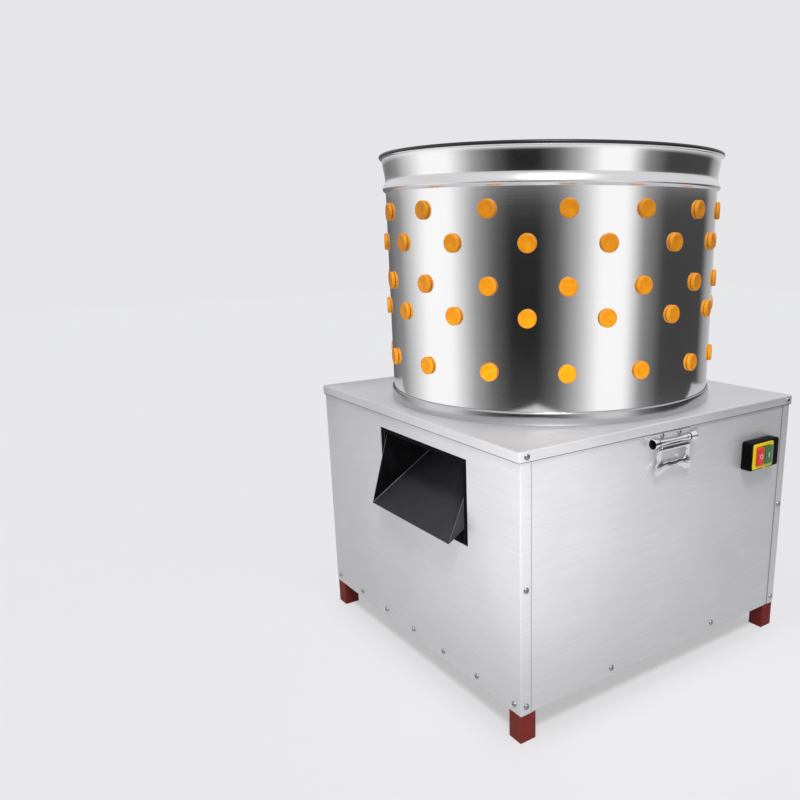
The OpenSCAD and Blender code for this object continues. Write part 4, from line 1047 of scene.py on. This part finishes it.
points = bpy.data.meshes.new("screw_points")
points.from_pydata([Vector(spot) * MM for spot, _ in places], [], [])
facing = points.attributes.new("facing", "FLOAT_VECTOR", "POINT")
for value, (_, direction) in zip(facing.data, places):
    value.vector = direction
one_screw = placed("one_screw", cross_screw())
screws = run_tree(facing_tree(), points, Screw=one_screw, Seed=SCREW_SEED, Finish=ZINC)
bpy.data.objects.remove(one_screw)
piece("cross_head_screws", screws, "base", "zinc_fasteners", "panel_screws", crisp=40)

# %% [markdown]
# ## The chute
# The floor and both cheeks are dark sheet. Their solids are right, so they get broken edges, and
# the narrow faces where the sheet was cut are paler. A thin weld runs along the corner between
# the floor and the rear cheek. The rear cheek's inner face and the cheeks' flanges behind the panel
# are painted black as painted shade.

# %% Chute
WELD_R = 0.9
WELD_IN = 0.5
CHUTE_T = 1.5
CHEEK_FLANGE = 2
floor_low, floor_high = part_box("chute_floor")


def cheek_finish(face):
    """Black painted shade inside the rear cheek and on the flanges behind the panel, pale on the other cut
    edges.
    """
    on_edge = abs(face.normal.y) < 0.5
    on_flange = on_edge and abs(face.center.x + (panel_out - CHEEK_FLANGE) * MM) < CHEEK_FLANGE * MM
    inside_rear = face.normal.y < -0.9 and abs(face.center.y - floor_high.y) < 1 * MM
    return 2 if inside_rear or on_flange else 1 if on_edge else 0


refined("chute_floor", "base", "dark_sheet", DARK_SHEET, 0.3)
cheeks = refined("chute_cheeks", "base", "dark_sheet", DARK_SHEET, 0.3)
# The rear cheek's inner face and the flanges behind the panel get a black painted shade.
dress(cheeks.data, cheek_finish, CUT_EDGE, SHEET_PAINTED_SHADE)

weld_start = Vector((floor_low.x, floor_high.y - WELD_IN * MM, floor_low.z + CHUTE_T * MM))
weld_end = Vector((floor_high.x, floor_high.y - WELD_IN * MM, floor_high.z))
run = weld_end - weld_start
weld_length = run.length / MM
weld = turned("weld", [(0, 0), (WELD_R, 0), (WELD_R, weld_length), (0, weld_length)], 10, CUT_EDGE)
weld.transform(Matrix.Translation(weld_start) @ run.to_track_quat("Z", "Y").to_matrix().to_4x4())
piece("chute_weld", weld, "base", "dark_sheet")

# %% [markdown]
# ## Stamped pieces
# The handles and the switch are flat outlines with round corners, pressed or moulded to a
# thickness. A filled curve with a bevel makes such a piece at once: outer outline, holes,
# thickness and rounded edge. It is turned into a mesh and stood up before it gets its place.

# %% Outlines
def rounded(corners, steps=5):
    """An outline whose corners (x, y, radius) are replaced by arcs."""
    outline = []
    count = len(corners)
    for i in range(count):
        here = Vector(corners[i][:2])
        before = Vector(corners[i - 1][:2]) - here
        after = Vector(corners[(i + 1) % count][:2]) - here
        spread = before.angle(after)
        reach = min(corners[i][2] / math.tan(spread / 2), 0.49 * before.length, 0.49 * after.length)
        start = here + before.normalized() * reach
        end = here + after.normalized() * reach
        for k in range(steps + 1):
            t = k / steps
            outline.append(start * (1 - t) ** 2 + here * 2 * t * (1 - t) + end * t ** 2)
    return [(p.x, p.y) for p in outline]


def box_outline(x, z, width, height, radius):
    """A rounded rectangle round a middle."""
    return rounded([(x + sx * width / 2, z + sz * height / 2, radius)
                    for sx, sz in ((-1, -1), (1, -1), (1, 1), (-1, 1))])


print("a box outline has", len(box_outline(0, 0, 2, 2, 0.5)), "points")

# %% Stamping
def swept(name, lines, closed, **settings):
    """The mesh of a curve with these settings, along lines of points in millimetres."""
    curve = bpy.data.curves.new(name, "CURVE")
    for key, value in settings.items():
        setattr(curve, key, value)
    for points in lines:
        line = curve.splines.new("POLY")
        line.points.add(len(points) - 1)
        for point, (x, y, z) in zip(line.points, points):
            point.co = (x * MM, y * MM, z * MM, 1)
        line.use_cyclic_u = closed
    return evaluated(placed(name + "_helper", curve))


def stamped(name, outlines, thickness, edge, finish):
    """A flat piece in XZ, from y = 0 to -thickness, with rounded edges on both faces."""
    lines = [[(x, z, 0) for x, z in outline] for outline in outlines]
    flat = swept(name, lines, True, dimensions="2D", fill_mode="BOTH", extrude=(thickness / 2 - edge) * MM,
                 bevel_depth=edge * MM, bevel_resolution=2, offset=-edge * MM)
    flat.transform(Matrix.Translation((0, -thickness / 2 * MM, 0)) @ Matrix.Rotation(math.pi / 2, 4, "X"))
    return closed_mesh(opened(flat), name, finish)


def moved(mesh, x=0, y=0, z=0):
    """The mesh moved by millimetres."""
    mesh.transform(Matrix.Translation((x * MM, y * MM, z * MM)))
    return mesh


def tipped(mesh, axis, degrees=90):
    """The mesh turned about an axis through the origin."""
    mesh.transform(Matrix.Rotation(math.radians(degrees), 4, axis))
    return mesh


print("stamping ready")

# %% [markdown]
# ## Carrying handles
# Each handle is a stamped nickel plate with curled ears, and a chrome bail that hangs from them.
# The bail's grip is wavy, with a pressed bead that follows the wave. Both handles are the same, so
# one function makes the front one and a half turn makes the rear one.

# %% Handle sizes
HANDLE_X = -9
HINGE_LEN = 96
KNUCKLE_D = 13
EAR_NECK = 4.9
EAR_FLARE = 1.8
ROD_R = 3.3
PLATE_T = 2
PLATE_TOP = 435
PIN_R = 2.5
PIN_HALF = 34
SLEEVE_HALF = 28.4
SLEEVE_BORE = 2.6
EAR_DEEP = 6.0
RIVET_X = 20
joints = {joint["name"]: joint for joint in frame["record"]["behaviour"]["joints"]}
_, hinge_y, hinge_z = [v / MM for v in joints["front_handle_swing"]["pos_m"]]
print("hinge at", round(hinge_y, 1), round(hinge_z, 1), "mm")

# %% Plate, ears and pin
def mirrored_outline(right):
    """A closed outline from its right half, given from the top down."""
    return rounded(right + [(-x, z, r) for x, z, r in reversed(right)])


def curled_ear(side):
    """The open curl that holds the bail's pin: wide at its outer end, narrow inside."""
    length = HINGE_LEN / 5
    mouth = KNUCKLE_D / 2 + EAR_FLARE
    profile = [(0, EAR_DEEP), (mouth - 2.4, EAR_DEEP), (mouth - 1.2, length), (mouth - 0.6, length + 0.2),
               (mouth, length - 0.4), (mouth - 0.7, length * 0.65), (EAR_NECK + 0.5, length * 0.3),
               (EAR_NECK, 0), (0, 0)]

    def hollow_finish(face):
        """Dark inside the curl, chrome outside."""
        inwards = face.normal.x * face.center.x + face.normal.y * face.center.y
        return 1 if face.center.z > (EAR_DEEP - 0.1) * MM and (inwards < 0 or face.normal.z > 0.9) else 0

    ear = dress(turned("ear", profile, 28, CHROME), hollow_finish, HOLLOW)
    return moved(tipped(ear, "Y", side * 90), x=side * (HINGE_LEN / 2 - length), y=hinge_y, z=hinge_z)


def handle_plate():
    """The plate on the panel, its two ears and the pin between them."""
    right = [(46, PLATE_TOP, 3), (46, 417, 4), (40, 411, 5), (38, 398, 6), (41, 388, 6), (50, 384, 6),
             (51, 372, 6), (44, 369, 6), (36, 372, 5), (31, 380, 6), (12, 383, 5)]
    plate = moved(stamped("handle_plate", [mirrored_outline(right)], PLATE_T, 0.5, NICKEL), y=-panel_out)
    pin = turned("pin", [(0, -PIN_HALF), (PIN_R, -PIN_HALF), (PIN_R, PIN_HALF), (0, PIN_HALF)], 16, CHROME)
    moved(tipped(pin, "Y"), y=hinge_y, z=hinge_z)
    return joined("handle_plate", [plate, pin, curled_ear(-1), curled_ear(1)])


print("plate and ears ready")

# %% Bail
def bead_tube(path, radius, y):
    """A pressed bead: a round tube along points in XZ."""
    tube = swept("bead", [[(x, y, z) for x, z in path]], False, dimensions="3D", bevel_depth=radius * MM,
                 bevel_resolution=3, use_fill_caps=True)
    return closed_mesh(opened(tube), "bead", CHROME)


def bail():
    """The bail at rest, hanging from the hinge: stamped plate, sleeve and wavy bead."""
    outer = mirrored_outline([(28, 2, 1), (28, -8, 2), (38, -9, 4), (38, -22, 8), (36, -30, 8), (41, -40, 7),
                              (41, -51, 6), (33, -53, 6), (22, -48, 8), (12, -43.5, 8)])
    window = mirrored_outline([(28, -14.5, 2), (26.5, -21, 4), (29, -28, 3), (24, -34, 4), (13, -32, 6),
                               (4, -33.5, 5)])
    plate = moved(stamped("bail", [outer, window], 4, 1.2, CHROME), y=2)
    right = [(EAR_NECK, 27.8), (EAR_NECK - 0.7, 22), (ROD_R + 0.3, 15), (ROD_R, 8)]
    ends = [(SLEEVE_BORE, SLEEVE_HALF), (SLEEVE_BORE, -SLEEVE_HALF)]
    rod = ends[1:] + [(r, -z) for r, z in right] + right[::-1] + ends
    sleeve = tipped(turned("bail_sleeve", rod, 28, CHROME), "Y")
    wave = [(x, -40.5 - 2.2 * math.cos(2 * math.pi * x / 34)) for x in range(-36, 37, 3)]
    return moved(joined("bail", [plate, sleeve, bead_tube(wave, 1.5, -2.0)]), y=hinge_y, z=hinge_z)


print("bail ready")

# %% Rivets, and both handles
def rivets():
    """Two domed rivets in the plate's top edge."""
    dome = [(0, 2.4)] + arc((0, -4.0), 6.4, 84, 39, 5) + [(5.0, 0), (2, 0), (2, -1.9), (0, -1.9)]
    made = []
    for x in (-RIVET_X, RIVET_X):
        one = tipped(turned("rivet", dome, 20, ZINC), "X")
        made.append(moved(one, x=x, y=-panel_out - PLATE_T, z=PLATE_TOP - 5))
    return joined("rivets", made)


def at_handle(mesh, rear):
    """Moves a handle's piece to the front, or by a half turn to the rear."""
    if rear:
        tipped(mesh, "Z", 180)
    return moved(mesh, x=HANDLE_X)


for label, node, make in (("plates", "handle_plates", handle_plate), ("rivets", "handle_rivets", rivets)):
    pair = joined(label, [at_handle(make(), rear) for rear in (False, True)])
    piece("chrome_" + node, pair, "base", "chrome_plate", node, crisp=40)
for side, rear in (("front", False), ("rear", True)):
    piece(side + "_chrome_bail", at_handle(bail(), rear), side + "_bail", "chrome_plate",
          side + "_handle_bail", crisp=40)

# %% [markdown]
# ## The switch
# A black moulded box carries a yellow plate with a red stop button and a green start button.
# The plate has a small catch under it, and a smoky clear guard stands beside the green button.
# The buttons carry the plain circle and bar that mean off and on.

# %% Switch case and plate
SWITCH_DEPTH = 20
FACE_LEFT = 6.5
FACE_T = 1.6
switch_low, switch_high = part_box("switch_box")
switch_x = (switch_low.x + switch_high.x) / 2 / MM
switch_z = (switch_low.z + switch_high.z) / 2 / MM
switch_front = switch_low.y / MM
switch_w = (switch_high.x - switch_low.x) / MM
switch_h = (switch_high.z - switch_low.z) / MM
face_x = switch_x - FACE_LEFT

case_edge = box_outline(switch_x, switch_z, switch_w, switch_h, 5)
case_hole = box_outline(face_x, switch_z, 43, 37, 2)
case = stamped("switch_case", [case_edge, case_hole], SWITCH_DEPTH, 2.2, BLACK_ABS)
piece("switch_case", moved(case, y=-panel_out), "base", "black_plastic", "switch_box", crisp=40)

catch = [(-28, -22.5, 4), (1, -22.5, 1), (2.5, -24.6, 1), (9, -24.6, 1), (10.5, -22.5, 1), (28, -22.5, 5),
         (28, 22.5, 5), (-28, 22.5, 4)]
face_edge = rounded([(face_x + x, switch_z + z, r) for x, z, r in catch])
face_hole = box_outline(face_x, switch_z, 39.8, 32.8, 2.5)
face_plate = moved(stamped("switch_plate", [face_edge, face_hole], FACE_T, 0.5, YELLOW_ABS), y=switch_front)
guard = stamped("guard", [box_outline(face_x + 23.6, switch_z - 1, 5.5, 34, 2.4)], 2.2, 0.8, SMOKY_ABS)
moved(guard, y=switch_front - FACE_T + 0.6)
piece("yellow_switch_plate", joined("yellow_switch_plate", [face_plate, guard]), "base", "yellow_plastic",
      "switch_plate", crisp=40)

# %% Buttons
BUTTON_OUT = 4.5
BUTTON_W = 18
BUTTON_H = 32
MARK_PROUD = 0.3
MARK_R = 3.6
MARK_TUBE = 0.85
BAR_T = 0.8


def button(side, finish, mark):
    """A button with a shallow pillow face, its flange behind the plate and its mark."""
    cap = stamped("cap", [box_outline(0, 0, BUTTON_W, BUTTON_H, 2.2)], FACE_T + BUTTON_OUT + 0.3, 1.4, finish)
    flange = stamped("flange", [box_outline(0, 0, BUTTON_W + 1.6, BUTTON_H + 3.2, 2)], 1.7, 0.3, finish)
    moved(cap, y=0.3)
    moved(flange, y=2.0)
    moved(mark, y=-FACE_T - BUTTON_OUT)
    whole = joined("button", [cap, flange, mark])
    return moved(whole, x=face_x + side * (BUTTON_W + 3) / 2, y=switch_front, z=switch_z)


# The marks are moulded into the buttons and hardly proud of them.
off_circle = tipped(turned("mark", arc((MARK_R, 0), MARK_TUBE, 0, 360, 8), 28, WHITE_MARK), "X")
moved(off_circle, y=MARK_TUBE - MARK_PROUD)
on_bar = stamped("bar", [box_outline(0, 0, 2.2, 9, 0.8)], BAR_T, 0.3, WHITE_MARK)
moved(on_bar, y=BAR_T - MARK_PROUD)
piece("red_stop_button", button(-1, RED_ABS, off_circle), "stop", "red_plastic", "stop_button", crisp=40)
piece("green_start_button", button(1, GREEN_ABS, on_bar), "start", "green_plastic", "start_button", crisp=40)

# %% Update the scene
bpy.context.view_layer.update()
